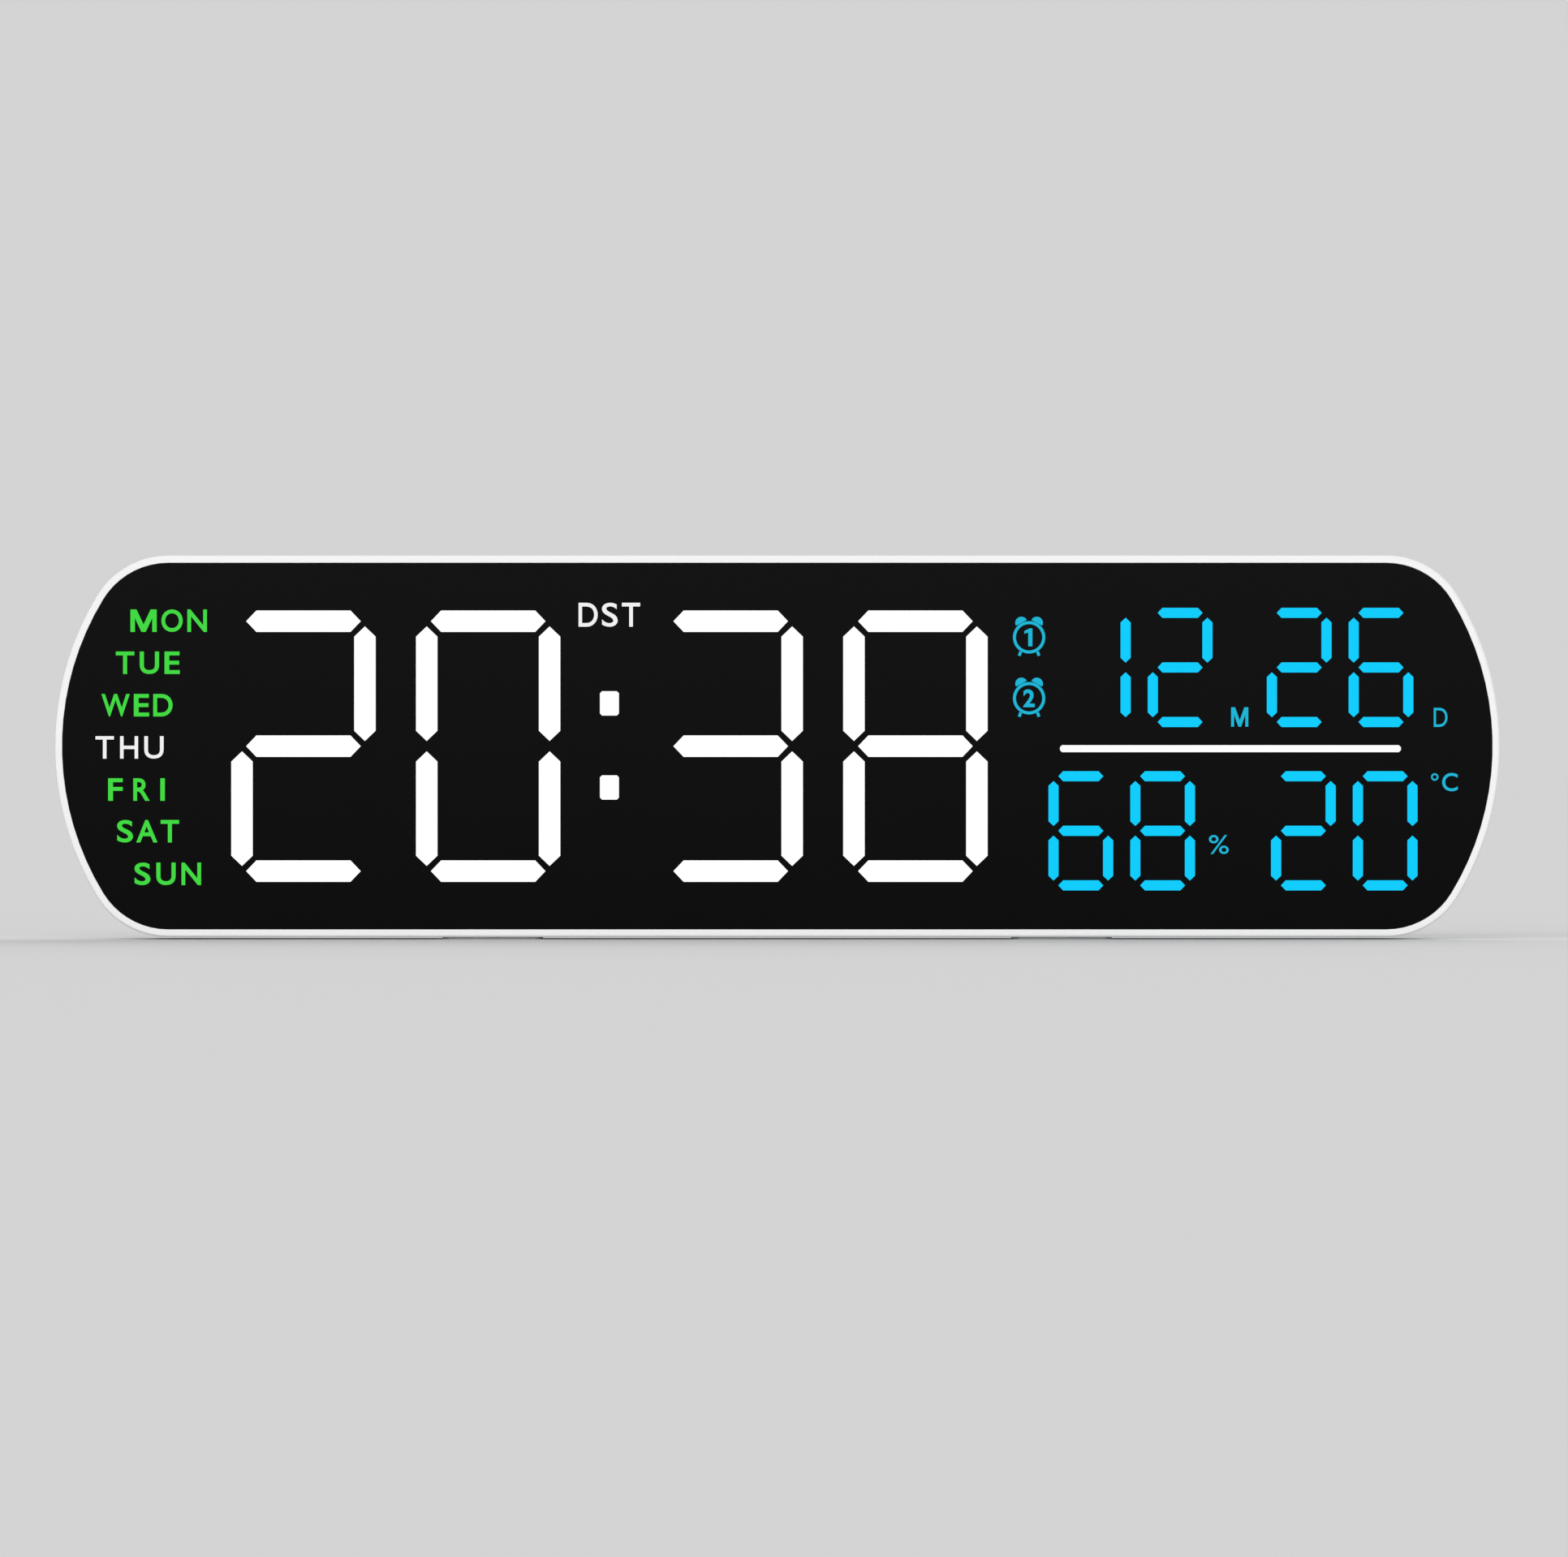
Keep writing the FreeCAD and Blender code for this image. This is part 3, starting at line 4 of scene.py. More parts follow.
import bmesh
import bpy
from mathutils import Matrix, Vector


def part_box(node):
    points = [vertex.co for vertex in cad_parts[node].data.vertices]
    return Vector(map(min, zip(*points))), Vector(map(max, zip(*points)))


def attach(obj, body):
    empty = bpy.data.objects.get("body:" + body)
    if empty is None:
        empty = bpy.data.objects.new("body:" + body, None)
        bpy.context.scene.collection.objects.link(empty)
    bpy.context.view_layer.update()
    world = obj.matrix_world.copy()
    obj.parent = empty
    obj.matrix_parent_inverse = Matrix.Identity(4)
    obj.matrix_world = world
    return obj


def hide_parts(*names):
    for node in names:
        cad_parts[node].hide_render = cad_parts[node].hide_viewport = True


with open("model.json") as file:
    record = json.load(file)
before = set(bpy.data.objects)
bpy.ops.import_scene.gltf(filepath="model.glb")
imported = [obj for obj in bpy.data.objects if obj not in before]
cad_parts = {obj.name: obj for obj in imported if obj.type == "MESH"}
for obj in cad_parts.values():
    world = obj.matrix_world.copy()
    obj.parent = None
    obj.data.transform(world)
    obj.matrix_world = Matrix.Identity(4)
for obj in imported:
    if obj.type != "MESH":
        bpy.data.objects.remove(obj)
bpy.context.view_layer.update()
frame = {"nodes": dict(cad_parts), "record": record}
nodes = frame["nodes"]

# The clock stands at the origin, its display faces -Y and +Z is up.  Everything is in metres.
MM = 0.001
FACE_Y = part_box("face_panel")[0][1]

TOUCH = 0.001 * MM  # points and levels nearer than this are the same
FLAT_ANGLE = math.radians(0.5)  # faces that meet at less than this are one flat face
SHARP_ANGLE = math.radians(52)  # edges whose faces meet at more than this are sharp


def add_object(name, data):
    made = bpy.data.objects.new(name, data)
    bpy.context.scene.collection.objects.link(made)
    return made


# ---------------------------------------------------------------- materials

def linear(*srgb):
    """A colour as the picture shows it, 0 to 255, turned into the shader's linear numbers."""
    shares = [value / 255 for value in srgb]
    bright = [((share + 0.055) / 1.055) ** 2.4 for share in shares]
    return [power if share > 0.04045 else share / 12.92 for power, share in zip(bright, shares)] + [1.0]


def add_node(tree, kind, **values):
    node = tree.nodes.new(kind)
    for name, value in values.items():
        node.inputs[name.replace("_", " ")].default_value = value
    return node


ROUGHNESS_DRIFT = 0.15
UNLIT_SHARES = {"A": 0.02, "B": 0.03}  # of its colour, left on a glowing surface for other light to fall on


def material(name, color, roughness=0.5, metallic=0.0, specular=0.5, coat=0.0,
             grain=0.0, grain_scale=1500.0, tint=0.03, tint_scale=60.0, glow=0.0):
    """A shader with a fine surface grain and a slight drift of its colour and roughness over the piece."""
    made = bpy.data.materials.new(name)
    made.use_nodes = True
    tree = made.node_tree
    shader = tree.nodes["Principled BSDF"]
    shader.inputs["Metallic"].default_value = metallic
    shader.inputs["Specular IOR Level"].default_value = specular
    shader.inputs["Coat Weight"].default_value = coat
    place = tree.nodes.new("ShaderNodeTexCoord")
    drift = add_node(tree, "ShaderNodeTexNoise", Scale=tint_scale, Detail=3.0)
    tree.links.new(place.outputs["Object"], drift.inputs["Vector"])
    paint = tree.nodes.new("ShaderNodeMix")
    paint.data_type = "RGBA"
    paint.inputs["A"].default_value = [value * (1 - tint) for value in color[:3]] + [1.0]
    paint.inputs["B"].default_value = color
    tree.links.new(drift.outputs["Fac"], paint.inputs["Factor"])
    tree.links.new(paint.outputs["Result"], shader.inputs["Base Color"])
    rough = add_node(tree, "ShaderNodeMapRange")
    rough.inputs["To Min"].default_value = roughness * (1 - ROUGHNESS_DRIFT)
    rough.inputs["To Max"].default_value = roughness * (1 + ROUGHNESS_DRIFT)
    tree.links.new(drift.outputs["Fac"], rough.inputs["Value"])
    tree.links.new(rough.outputs["Result"], shader.inputs["Roughness"])
    if grain:
        fine = add_node(tree, "ShaderNodeTexNoise", Scale=grain_scale, Detail=2.0)
        tree.links.new(place.outputs["Object"], fine.inputs["Vector"])
        bump = add_node(tree, "ShaderNodeBump", Strength=grain, Distance=0.0002)
        tree.links.new(fine.outputs["Fac"], bump.inputs["Height"])
        tree.links.new(bump.outputs["Normal"], shader.inputs["Normal"])
    if glow:
        shader.inputs["Emission Color"].default_value = color
        shader.inputs["Emission Strength"].default_value = glow
        for socket, share in UNLIT_SHARES.items():
            paint.inputs[socket].default_value = [value * share for value in color[:3]] + [1.0]
    return made


FACE_BLACK = (0.0022, 0.0021, 0.0022, 1.0)
WHITE = linear(254, 252, 254)
CYAN = linear(4, 202, 249)
DIM_CYAN = linear(26, 178, 211)
DIM_WHITE = linear(238, 238, 238)
GREEN = linear(64, 214, 64)
PLASTIC = (0.90, 0.90, 0.895, 1.0)

case_white = material("case_white", PLASTIC, 0.5, specular=0.25, grain=0.25, grain_scale=2500.0, tint=0.02)
# A lighter copy of the case white for the frame: painted light that makes the frame read brighter than the
# back.
rim_white_brightened = material("rim_white_brightened", (0.93, 0.93, 0.93, 1.0), 0.4, specular=0.3, grain=0.1, grain_scale=2000.0,
                     tint=0.01)
face_black = material("face_black", FACE_BLACK, 0.12, specular=0.04, tint=0.2)
lit_white = material("lit_white", WHITE, 0.3, specular=0.05, glow=1.0)
lit_cyan = material("lit_cyan", CYAN, 0.3, specular=0.05, glow=1.0)
lit_green = material("lit_green", GREEN, 0.3, specular=0.05, glow=1.0)
dim_cyan = material("dim_cyan", DIM_CYAN, 0.3, specular=0.05, glow=1.0)
dim_white = material("dim_white", DIM_WHITE, 0.3, specular=0.05, glow=1.0)
sheet_white = material("sheet_white", (0.85, 0.85, 0.85, 1.0), 0.6, grain=0.1)
board_green = material("board_green", (0.02, 0.12, 0.05, 1.0), 0.35, tint=0.3, grain=0.2)
lamp_resin = material("lamp_resin", (0.85, 0.80, 0.50, 1.0), 0.2, coat=0.5)
chip_black = material("chip_black", (0.02, 0.02, 0.021, 1.0), 0.55, grain=0.3)
key_grey = material("key_grey", (0.30, 0.31, 0.32, 1.0), 0.5, grain=0.25)
key_white = material("key_white", (0.88, 0.88, 0.88, 1.0), 0.5, specular=0.3, tint=0.01)
rubber = material("rubber", (0.70, 0.71, 0.71, 1.0), 0.75, specular=0.3, grain=0.6, grain_scale=900.0)
steel = material("steel", (0.55, 0.55, 0.54, 1.0), 0.28, metallic=1.0, grain=0.1)
can_metal = material("can_metal", (0.7, 0.7, 0.71, 1.0), 0.35, metallic=1.0, grain=0.15)

NODE_MATERIALS = {
    "case_white": case_white,
    "face_black": face_black,
    "segment_white": lit_white,
    "segment_cyan": lit_cyan,
    "diffuser_white": sheet_white,
    "tray_white": sheet_white,
    "board_green": board_green,
    "lamp_clear": lamp_resin,
    "chip_black": chip_black,
    "sensor_white": sheet_white,
    "can_metal": can_metal,
    "steel": steel,
    "key_grey": key_grey,
    "pad_rubber": rubber,
}
for subpart in frame["record"]["subparts"]:
    mesh = nodes[subpart["node"]].data
    mesh.materials.clear()
    mesh.materials.append(NODE_MATERIALS[subpart["material_slot"]])
# The frame is the one white piece that shows at the front. It is the same plastic as the back, but gets a
# lighter copy of the case white: painted light, so that it reads brighter.
nodes["front_frame"].data.materials[0] = rim_white_brightened


ROUNDING_STEPS = 3


def soften(piece, radius, largest_only=False, limit="ANGLE"):
    """Rounds the sharp edges of a moulded or stamped piece, and shades its flat faces flat.

    With largest_only a point is shaded as the largest face at it, for a small piece with wide chamfers.
    The limit says what picks the edges: their ANGLE, or the WEIGHT that weigh_edges gave them.
    """
    rounded = piece.modifiers.new("rounded_edges", "BEVEL")
    rounded.width = radius
    rounded.segments = ROUNDING_STEPS
    rounded.limit_method = limit
    rounded.angle_limit = SHARP_ANGLE
    rounded.use_clamp_overlap = False
    rounded.loop_slide = False
    even = piece.modifiers.new("even_shading", "WEIGHTED_NORMAL")
    even.mode = "FACE_AREA"
    even.keep_sharp = True
    if largest_only:
        even.weight = 100
        even.thresh = 0.1 * MM * MM


def soften_node(name, radius):
    """Rounds the edges of a CAD node by modifiers alone."""
    piece = nodes[name]
    weld = piece.modifiers.new("weld", "WELD")
    weld.merge_threshold = TOUCH
    joined = piece.modifiers.new("joined_faces", "DECIMATE")
    joined.decimate_type = "DISSOLVE"
    joined.angle_limit = FLAT_ANGLE
    soften(piece, radius)


CORNER_SHARE = 0.38  # of a cut corner's width, taken up by the rounding at each of its two edges
MICRONS = 6  # decimals of a metre
# the share of an edge that runs along Y, and the angle in degrees between its faces
STRAIGHT_ALONG, SLANTED_ALONG = 0.999, 0.3
CUT_LEAST, CUT_MOST, SLANT_LEAST = 40, 50, 25


def span_across(face):
    """The width of a face seen along Y."""
    ends = [(vert.co.x, vert.co.z) for vert in face.verts]
    return max(math.dist(one, other) for one in ends for other in ends)


def lies_across(face):
    return abs(face.normal.y) > 0.9999


def open_flat_faces(built, corners):
    """Takes out the flat faces across Y that touch the corners, and returns the levels they had."""
    region = {face for vert in corners for face in vert.link_faces if lies_across(face)}
    growing = list(region)
    while growing:
        for edge in growing.pop().edges:
            for face in edge.link_faces:
                if face not in region and lies_across(face):
                    region.add(face)
                    growing.append(face)
    levels = sorted({round(face.verts[0].co.y, MICRONS) for face in region})
    bmesh.ops.delete(built, geom=list(region), context="FACES")
    return levels


def round_cut_corners(built, outer_y, holed):
    """Turns the cut corners of outlines that lie across Y into round ones, if they reach behind outer_y.

    A corner is cut at 45 degrees, which leaves two edges to round, each with a slanted one above it where
    the outline has a chamfer.  Flat faces at the corners would crack where they have holes, so they are
    taken out first and filled again afterwards.  Unless the piece is holed, those at slanted edges stay.
    """
    offsets = {}
    slanted = []
    for edge in built.edges:
        if len(edge.link_faces) != 2 or max(vert.co.y for vert in edge.verts) < outer_y:
            continue
        along = abs((edge.verts[1].co - edge.verts[0].co).normalized().y)
        angle = math.degrees(edge.calc_face_angle(0))
        if along > STRAIGHT_ALONG and CUT_LEAST < angle < CUT_MOST:
            width = min(span_across(face) for face in edge.link_faces)
            offsets[edge] = round(CORNER_SHARE * width, MICRONS)
        elif along > SLANTED_ALONG and SLANT_LEAST < angle < CUT_MOST:
            slanted.append(edge)
    for edge in slanted:
        beside = [other for vert in edge.verts for other in vert.link_edges if other in offsets]
        if beside:
            across = [side.calc_length() for face in edge.link_faces for side in face.edges
                      if abs(side.verts[0].co.y - side.verts[1].co.y) < TOUCH]
            least = min([offsets[other] for other in beside] + [round(CORNER_SHARE * min(across), MICRONS)])
            offsets.update({other: least for other in beside + [edge]})
    rims = {vert for edge in offsets for vert in edge.verts}
    if not holed:
        rims -= {vert for edge in slanted for vert in edge.verts}
    opened = open_flat_faces(built, rims)
    for offset in sorted(set(offsets.values())):
        edges = [edge for edge, value in offsets.items() if edge.is_valid and value == offset]
        bmesh.ops.bevel(built, geom=edges, offset=offset, offset_type="OFFSET", segments=ROUNDING_STEPS,
                        profile=0.5, affect="EDGES", clamp_overlap=False)
    for level in opened:
        rim = [edge for edge in built.edges if edge.is_boundary
               and all(abs(vert.co.y - level) < TOUCH for vert in edge.verts)]
        bmesh.ops.triangle_fill(built, use_beauty=True, use_dissolve=False, edges=rim, normal=(0, 1, 0))
    bmesh.ops.recalc_face_normals(built, faces=built.faces)


LEDGE_THICK = 1.2 * MM
LEDGE_SPARE = 0.01 * MM
CORNER_DEPTH = 4 * MM  # the corners this near to the outside are rounded


def weigh_edges(built, ledge):
    """Marks the sharp edges for rounding, apart from those of the hidden ledge that starts at that level."""
    weight = built.edges.layers.float.new("bevel_weight_edge")
    for edge in built.edges:
        hidden = all(-LEDGE_SPARE < vert.co.y - ledge < LEDGE_THICK + LEDGE_SPARE for vert in edge.verts)
        edge[weight] = float(not hidden and edge.calc_face_angle(0) > SHARP_ANGLE)


def moulded_copy(name, radius, holed=True, ledge=None):
    """Stands in for a CAD node: the same form with round corners and edges, or with a ledge, round edges."""
    node = nodes[name]
    built = bmesh.new()
    built.from_mesh(node.data)
    bmesh.ops.remove_doubles(built, verts=built.verts, dist=TOUCH)
    bmesh.ops.dissolve_limit(built, angle_limit=FLAT_ANGLE, verts=built.verts, edges=built.edges)
    if ledge is None:
        round_cut_corners(built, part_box(name)[1][1] - CORNER_DEPTH, holed)
        bmesh.ops.dissolve_limit(built, angle_limit=FLAT_ANGLE, verts=built.verts, edges=built.edges)
    else:
        weigh_edges(built, ledge)
    for face in built.faces:
        face.smooth = True
    mesh = bpy.data.meshes.new(f"{name}_moulded")
    built.to_mesh(mesh)
    built.free()
    if "custom_normal" in mesh.attributes:
        mesh.attributes.remove(mesh.attributes["custom_normal"])
    mesh.set_sharp_from_angle(angle=SHARP_ANGLE)
    mesh.materials.clear()
    mesh.materials.append(node.data.materials[0])
    copy = add_object(f"{name}_moulded", mesh)
    soften(copy, radius, largest_only=not holed, limit="ANGLE" if ledge is None else "WEIGHT")
    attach(copy, BODY_OF[name])
    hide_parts(name)


FINE_RADIUS = 0.15 * MM
COVER_RADIUS = 0.18 * MM
CELL_RADIUS = 0.3 * MM
KEYS = ("set", "up", "down", "alarm", "light")
BODY_OF = {node: body for body, members in frame["record"]["behaviour"]["bodies"].items() for node in members}

moulded_copy("front_frame", FINE_RADIUS, ledge=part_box("face_panel")[1][1])
soften_node("base_pads", FINE_RADIUS)
soften_node("coin_cell_holder", FINE_RADIUS)
soften_node("coin_cell", CELL_RADIUS)
for name in ("rear_cover", "battery_door", "stand_leg_left", "stand_leg_right", "leg_pad_left",
             "leg_pad_right"):
    moulded_copy(name, COVER_RADIUS)
for name in KEYS:
    moulded_copy(f"{name}_key", FINE_RADIUS, holed=False)


# ---------------------------------------------------------------- digits

LIT_STROKES = {"0": "abcdef", "2": "abdeg", "3": "abcdg", "6": "acdefg", "8": "abcdefg"}
SHOWN = {
    "hours_tens_digit": "2",
    "hours_units_digit": "0",
    "minutes_tens_digit": "3",
    "minutes_units_digit": "8",
    "month_units_digit": "2",
    "day_tens_digit": "2",
    "day_units_digit": "6",
    "humidity_tens_digit": "6",
    "humidity_units_digit": "8",
    "temperature_tens_digit": "2",
    "temperature_units_digit": "0",
}
STROKE_SHARE = 0.168  # about the share of a digit's width that a stroke takes


def stroke_axes(low, high):
    """The middle line of each of the seven strokes of a digit, from the digit's box."""
    half = STROKE_SHARE / 2 * (high[0] - low[0])
    left, right = low[0] + half, high[0] - half
    bottom, top = low[2] + half, high[2] - half
    middle = (bottom + top) / 2
    return {
        "a": ((left, top), (right, top)),
        "b": ((right, middle), (right, top)),
        "c": ((right, bottom), (right, middle)),
        "d": ((left, bottom), (right, bottom)),
        "e": ((left, bottom), (left, middle)),
        "f": ((left, middle), (left, top)),
        "g": ((left, middle), (right, middle)),
    }


def distance_to(axis, x, z):
    """From a point to a level or upright line, given by its lower left and upper right end."""
    (x0, z0), (x1, z1) = axis
    return math.hypot(max(x0 - x, 0, x - x1), max(z0 - z, 0, z - z1))


for name, shown in SHOWN.items():
    mesh = nodes[name].data
    axes = stroke_axes(*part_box(name))
    mesh.materials.append(face_black)
    for face in mesh.polygons:
        nearest = min(axes, key=lambda stroke: distance_to(axes[stroke], face.center.x, face.center.z))
        face.material_index = 0 if nearest in LIT_STROKES[shown] else 1


# ---------------------------------------------------------------- lettering on the face

PROUD = 0.03 * MM  # how far lettering and prints stand out
# The width of a bold capital for a height of 1.
LETTER_WIDTH = {"A": 0.94, "D": 0.86, "E": 0.68, "F": 0.65, "H": 0.80, "I": 0.20, "M": 1.17, "N": 0.87,
                "O": 0.95, "R": 0.73, "S": 0.71, "T": 0.82, "U": 0.86, "W": 1.26}
# Outlines in a box of 1 by 1 that replace the built-in font's.
OWN_SHAPES = {
    "M": [(0, 0), (0.17, 0), (0.17, 0.62), (0.42, 0), (0.58, 0), (0.83, 0.62), (0.83, 0), (1, 0),
          (1, 1), (0.77, 1), (0.5, 0.33), (0.23, 1), (0, 1)],
    "1": [(0.48, 0), (1, 0), (1, 1), (0.66, 1), (0, 0.86), (0, 0.70), (0.48, 0.78)],
}


def add_mesh(name, points, faces, surface):
    mesh = bpy.data.meshes.new(name)
    mesh.from_pydata(points, [], faces)
    mesh.materials.append(surface)
    return add_object(name, mesh)


def letter_shape(letter, bold):
    """The points and faces of one letter, scaled to a box of 1 by 1 that starts at 0, 0."""
    if letter in OWN_SHAPES:
        return OWN_SHAPES[letter], [list(range(len(OWN_SHAPES[letter])))]
    text = bpy.data.curves.new("letter", "FONT")
    text.body = letter
    text.offset = bold
    text.resolution_u = 6
    holder = add_object("letter", text)
    bpy.context.view_layer.update()
    mesh = bpy.data.meshes.new_from_object(holder)
    low = [min(vertex.co[axis] for vertex in mesh.vertices) for axis in (0, 1)]
    high = [max(vertex.co[axis] for vertex in mesh.vertices) for axis in (0, 1)]
    points = [[(vertex.co[axis] - low[axis]) / (high[axis] - low[axis]) for axis in (0, 1)]
              for vertex in mesh.vertices]
    faces = [list(face.vertices) for face in mesh.polygons]
    bpy.data.objects.remove(holder)
    bpy.data.meshes.remove(mesh)
    bpy.data.curves.remove(text)
    return points, faces


def raised(name, points, faces, surface, base=FACE_Y, proud=-PROUD, slot="segment_cyan", body="clock"):
    """Flat faces in x and z, made a hair thick and stood on the face panel or on the level given as base."""
    built = bmesh.new()
    corners = [built.verts.new((x, base, z)) for x, z in points]
    for face in faces:
        built.faces.new([corners[index] for index in face])
    bmesh.ops.remove_doubles(built, verts=built.verts, dist=TOUCH / 10)
    grown = bmesh.ops.extrude_face_region(built, geom=built.faces[:])
    front = [item for item in grown["geom"] if isinstance(item, bmesh.types.BMVert)]
    bmesh.ops.translate(built, verts=front, vec=(0, proud, 0))
    bmesh.ops.recalc_face_normals(built, faces=built.faces)
    mesh = bpy.data.meshes.new(name)
    built.to_mesh(mesh)
    built.free()
    mesh.materials.append(surface)
    made = add_object(name, mesh)
    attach(made, body)
    return made


def word(name, letters, x, z, width, height, surface, bold=0.02, narrow=1.0):
    """A word centred at x, z in a box, its letters spaced evenly.  All sizes are millimetres."""
    widths = [LETTER_WIDTH[letter] * narrow * height for letter in letters] if len(letters) > 1 else [width]
    gap = (width - sum(widths)) / max(len(letters) - 1, 1)
    start = x - width / 2
    points, faces = [], []
    for letter, letter_width in zip(letters, widths):
        shape, parts = letter_shape(letter, bold)
        first = len(points)
        points += [((start + u * letter_width) * MM, (z + (v - 0.5) * height) * MM) for u, v in shape]
        faces += [[first + index for index in part] for part in parts]
        start += letter_width + gap
    slot = "segment_white" if surface is dim_white else "segment_cyan"
    return raised(name, points, faces, surface, slot=slot)


WEEKDAY_HEIGHT = 5.9
# word, x and z of its middle, width
WEEKDAYS = [
    ("MON", -159.98, 83.79, 20.1),
    ("TUE", -165.45, 72.73, 16.8),
    ("WED", -168.30, 61.57, 18.7),
    ("THU", -170.26, 50.48, 17.9),
    ("FRI", -168.44, 39.40, 14.9),
    ("SAT", -165.39, 28.44, 16.3),
    ("SUN", -160.21, 17.23, 17.5),
]
for letters, x, z, width in WEEKDAYS:
    today = letters == "THU"
    word(f"weekday_{letters.lower()}", letters, x, z, width, WEEKDAY_HEIGHT,
         dim_white if today else lit_green, bold=0.008 if today else 0.017)
word("summer_time_mark", "DST", -44.14, 85.35, 16.2, 6.3, dim_white, bold=0.010, narrow=0.93)
word("month_mark", "M", 121.54, 58.48, 4.5, 5.1, dim_cyan)
word("day_mark", "D", 174.35, 58.37, 3.6, 5.0, dim_cyan, bold=0.0)
word("percent_mark", "%", 116.05, 24.95, 5.2, 5.0, dim_cyan, bold=0.0)
word("celsius_letter", "C", 176.80, 41.35, 4.1, 4.8, dim_cyan, bold=0.01)


def band(points, width):
    """Faces of a flat band of even width along a line of x, z points."""
    left, right = [], []
    for index, (x, z) in enumerate(points):
        x0, z0 = points[max(index - 1, 0)]
        x1, z1 = points[min(index + 1, len(points) - 1)]
        length = math.hypot(x1 - x0, z1 - z0)
        side_x, side_z = -(z1 - z0) / length * width / 2, (x1 - x0) / length * width / 2
        left.append((x + side_x, z + side_z))
        right.append((x - side_x, z - side_z))
    count = len(points)
    faces = [[index, index + 1, count + index + 1, count + index] for index in range(count - 1)]
    return left + right, faces


def turn(x, z, radius, start, end, steps):
    """Points on an arc round x, z, from one angle in degrees to another."""
    angles = [math.radians(start + (end - start) * step / steps) for step in range(steps + 1)]
    return [(x + radius * math.cos(angle), z + radius * math.sin(angle)) for angle in angles]


def fill(outline):
    """The points and the one face of a filled outline."""
    return outline, [list(range(len(outline)))]


def gather(name, shapes, surface, **how):
    """Several flat shapes in millimetres joined in one raised piece."""
    points, faces = [], []
    for shape, parts in shapes:
        first = len(points)
        points += [(x * MM, z * MM) for x, z in shape]
        faces += [[first + index for index in part] for part in parts]
    return raised(name, points, faces, surface, **how)


gather("degree_ring", [band(turn(172.8, 42.7, 0.76, 0, 360, 20), 0.45)], dim_cyan)


RING_RADIUS = 3.86
BELL_PLACE = 4.32
BELL_RADIUS = 1.6
SYMBOL_LINE = 0.78
FOOT_ENDS = ((2.2, -3.75), (2.6, -4.85))
FOOT_WIDTH = 0.75
NUMBER_HEIGHT = 4.7


def alarm_symbol(name, x, z, number, number_x, number_width):
    """A small alarm clock: ring, two bells, two feet and the alarm's number."""
    shapes = [band(turn(x, z, RING_RADIUS, 0, 360, 48), SYMBOL_LINE)]
    for side, lean in ((1, 62), (-1, 118)):
        bell_x, bell_z = turn(x, z, BELL_PLACE, lean, lean, 1)[0]
        shapes.append(fill(turn(bell_x, bell_z, BELL_RADIUS, lean - 90, lean + 90, 12)))
        shapes.append(band([(x + side * out, z + up) for out, up in FOOT_ENDS], FOOT_WIDTH))
    gather(f"{name}_case", shapes, dim_cyan)
    word(f"{name}_number", number, number_x, z, number_width, NUMBER_HEIGHT, dim_cyan, bold=0.028)


alarm_symbol("alarm_one", 66.18, 79.42, "1", 66.0, 2.1)
alarm_symbol("alarm_two", 66.18, 63.40, "2", 66.15, 3.0)


# ---------------------------------------------------------------- back

def clockwork(x, z):
    """A bell clock: ring, hands and two bells."""
    shapes = [band(turn(x, z - 0.15, 1.25, 0, 360, 24), 0.32), band([(x, z + 0.55), (x, z - 0.35)], 0.28)]
    return shapes + [fill(turn(x + side * 1.0, z + 1.35, 0.45, lean - 90, lean + 90, 8))
                     for side, lean in ((1, 52), (-1, 128))]


def lamp_rays(x, z):
    """A disc with eight rays."""
    spokes = [turn(x, z, radius, 0, 315, 7) for radius in (1.25, 1.85)]
    return [fill(turn(x, z, 0.8, 0, 345, 23))] + [band([near, far], 0.3) for near, far in zip(*spokes)]


def pointer(x, z, up):
    """A triangle that points up or down."""
    return [fill([(x - 1.4, z - 0.9 * up), (x + 1.4, z - 0.9 * up), (x, z + 1.3 * up)])]


def target(x, z):
    """A dot in a ring."""
    return [band(turn(x, z, 1.45, 0, 360, 24), 0.35), fill(turn(x, z, 0.55, 0, 345, 23))]


def print_keys():
    """The white mark printed on each key."""
    marks = {
        "set": target,
        "up": lambda x, z: pointer(x, z, 1),
        "down": lambda x, z: pointer(x, z, -1),
        "alarm": clockwork,
        "light": lamp_rays,
    }
    for name in KEYS:
        low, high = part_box(f"{name}_key")
        middle = [(low[axis] + high[axis]) / 2 / MM for axis in (0, 2)]
        gather(f"{name}_key_print", marks[name](*middle), key_white, base=high[1], proud=PROUD,
               slot="case_white", body=f"{name}_button")


print_keys()


def lathe(profile, x, y, z, steps=24):
    """A turned solid about an axis along Y: the profile's points are (radius, height), in millimetres."""
    built = bmesh.new()
    rings = []
    for radius, height in profile:
        if radius == 0:
            rings.append([built.verts.new((x, y + height * MM, z))] * steps)
            continue
        rings.append([built.verts.new((x + u * MM, y + height * MM, z + v * MM))
                      for u, v in turn(0, 0, radius, 0, 360 - 360 / steps, steps - 1)])
    for low, high in zip(rings, rings[1:]):
        for index in range(steps):
            loop = [low[index - 1], low[index], high[index], high[index - 1]]
            built.faces.new(list(dict.fromkeys(loop)))
    bmesh.ops.recalc_face_normals(built, faces=built.faces)
    for face in built.faces:
        face.smooth = True
    return built


def plus_outline(arm, half):
    """A plus sign round 0, 0, from the length of an arm and half its width."""
    return [(half, half), (half, arm), (-half, arm), (-half, half), (-arm, half), (-arm, -half),
            (-half, -half), (-half, -arm), (half, -arm), (half, -half), (arm, -half), (arm, half)]


# the share of its full size that the cross has at a height over the top of the head, in millimetres
CROSS_LEVELS = ((0.45, -1.1), (1.0, 0.3))


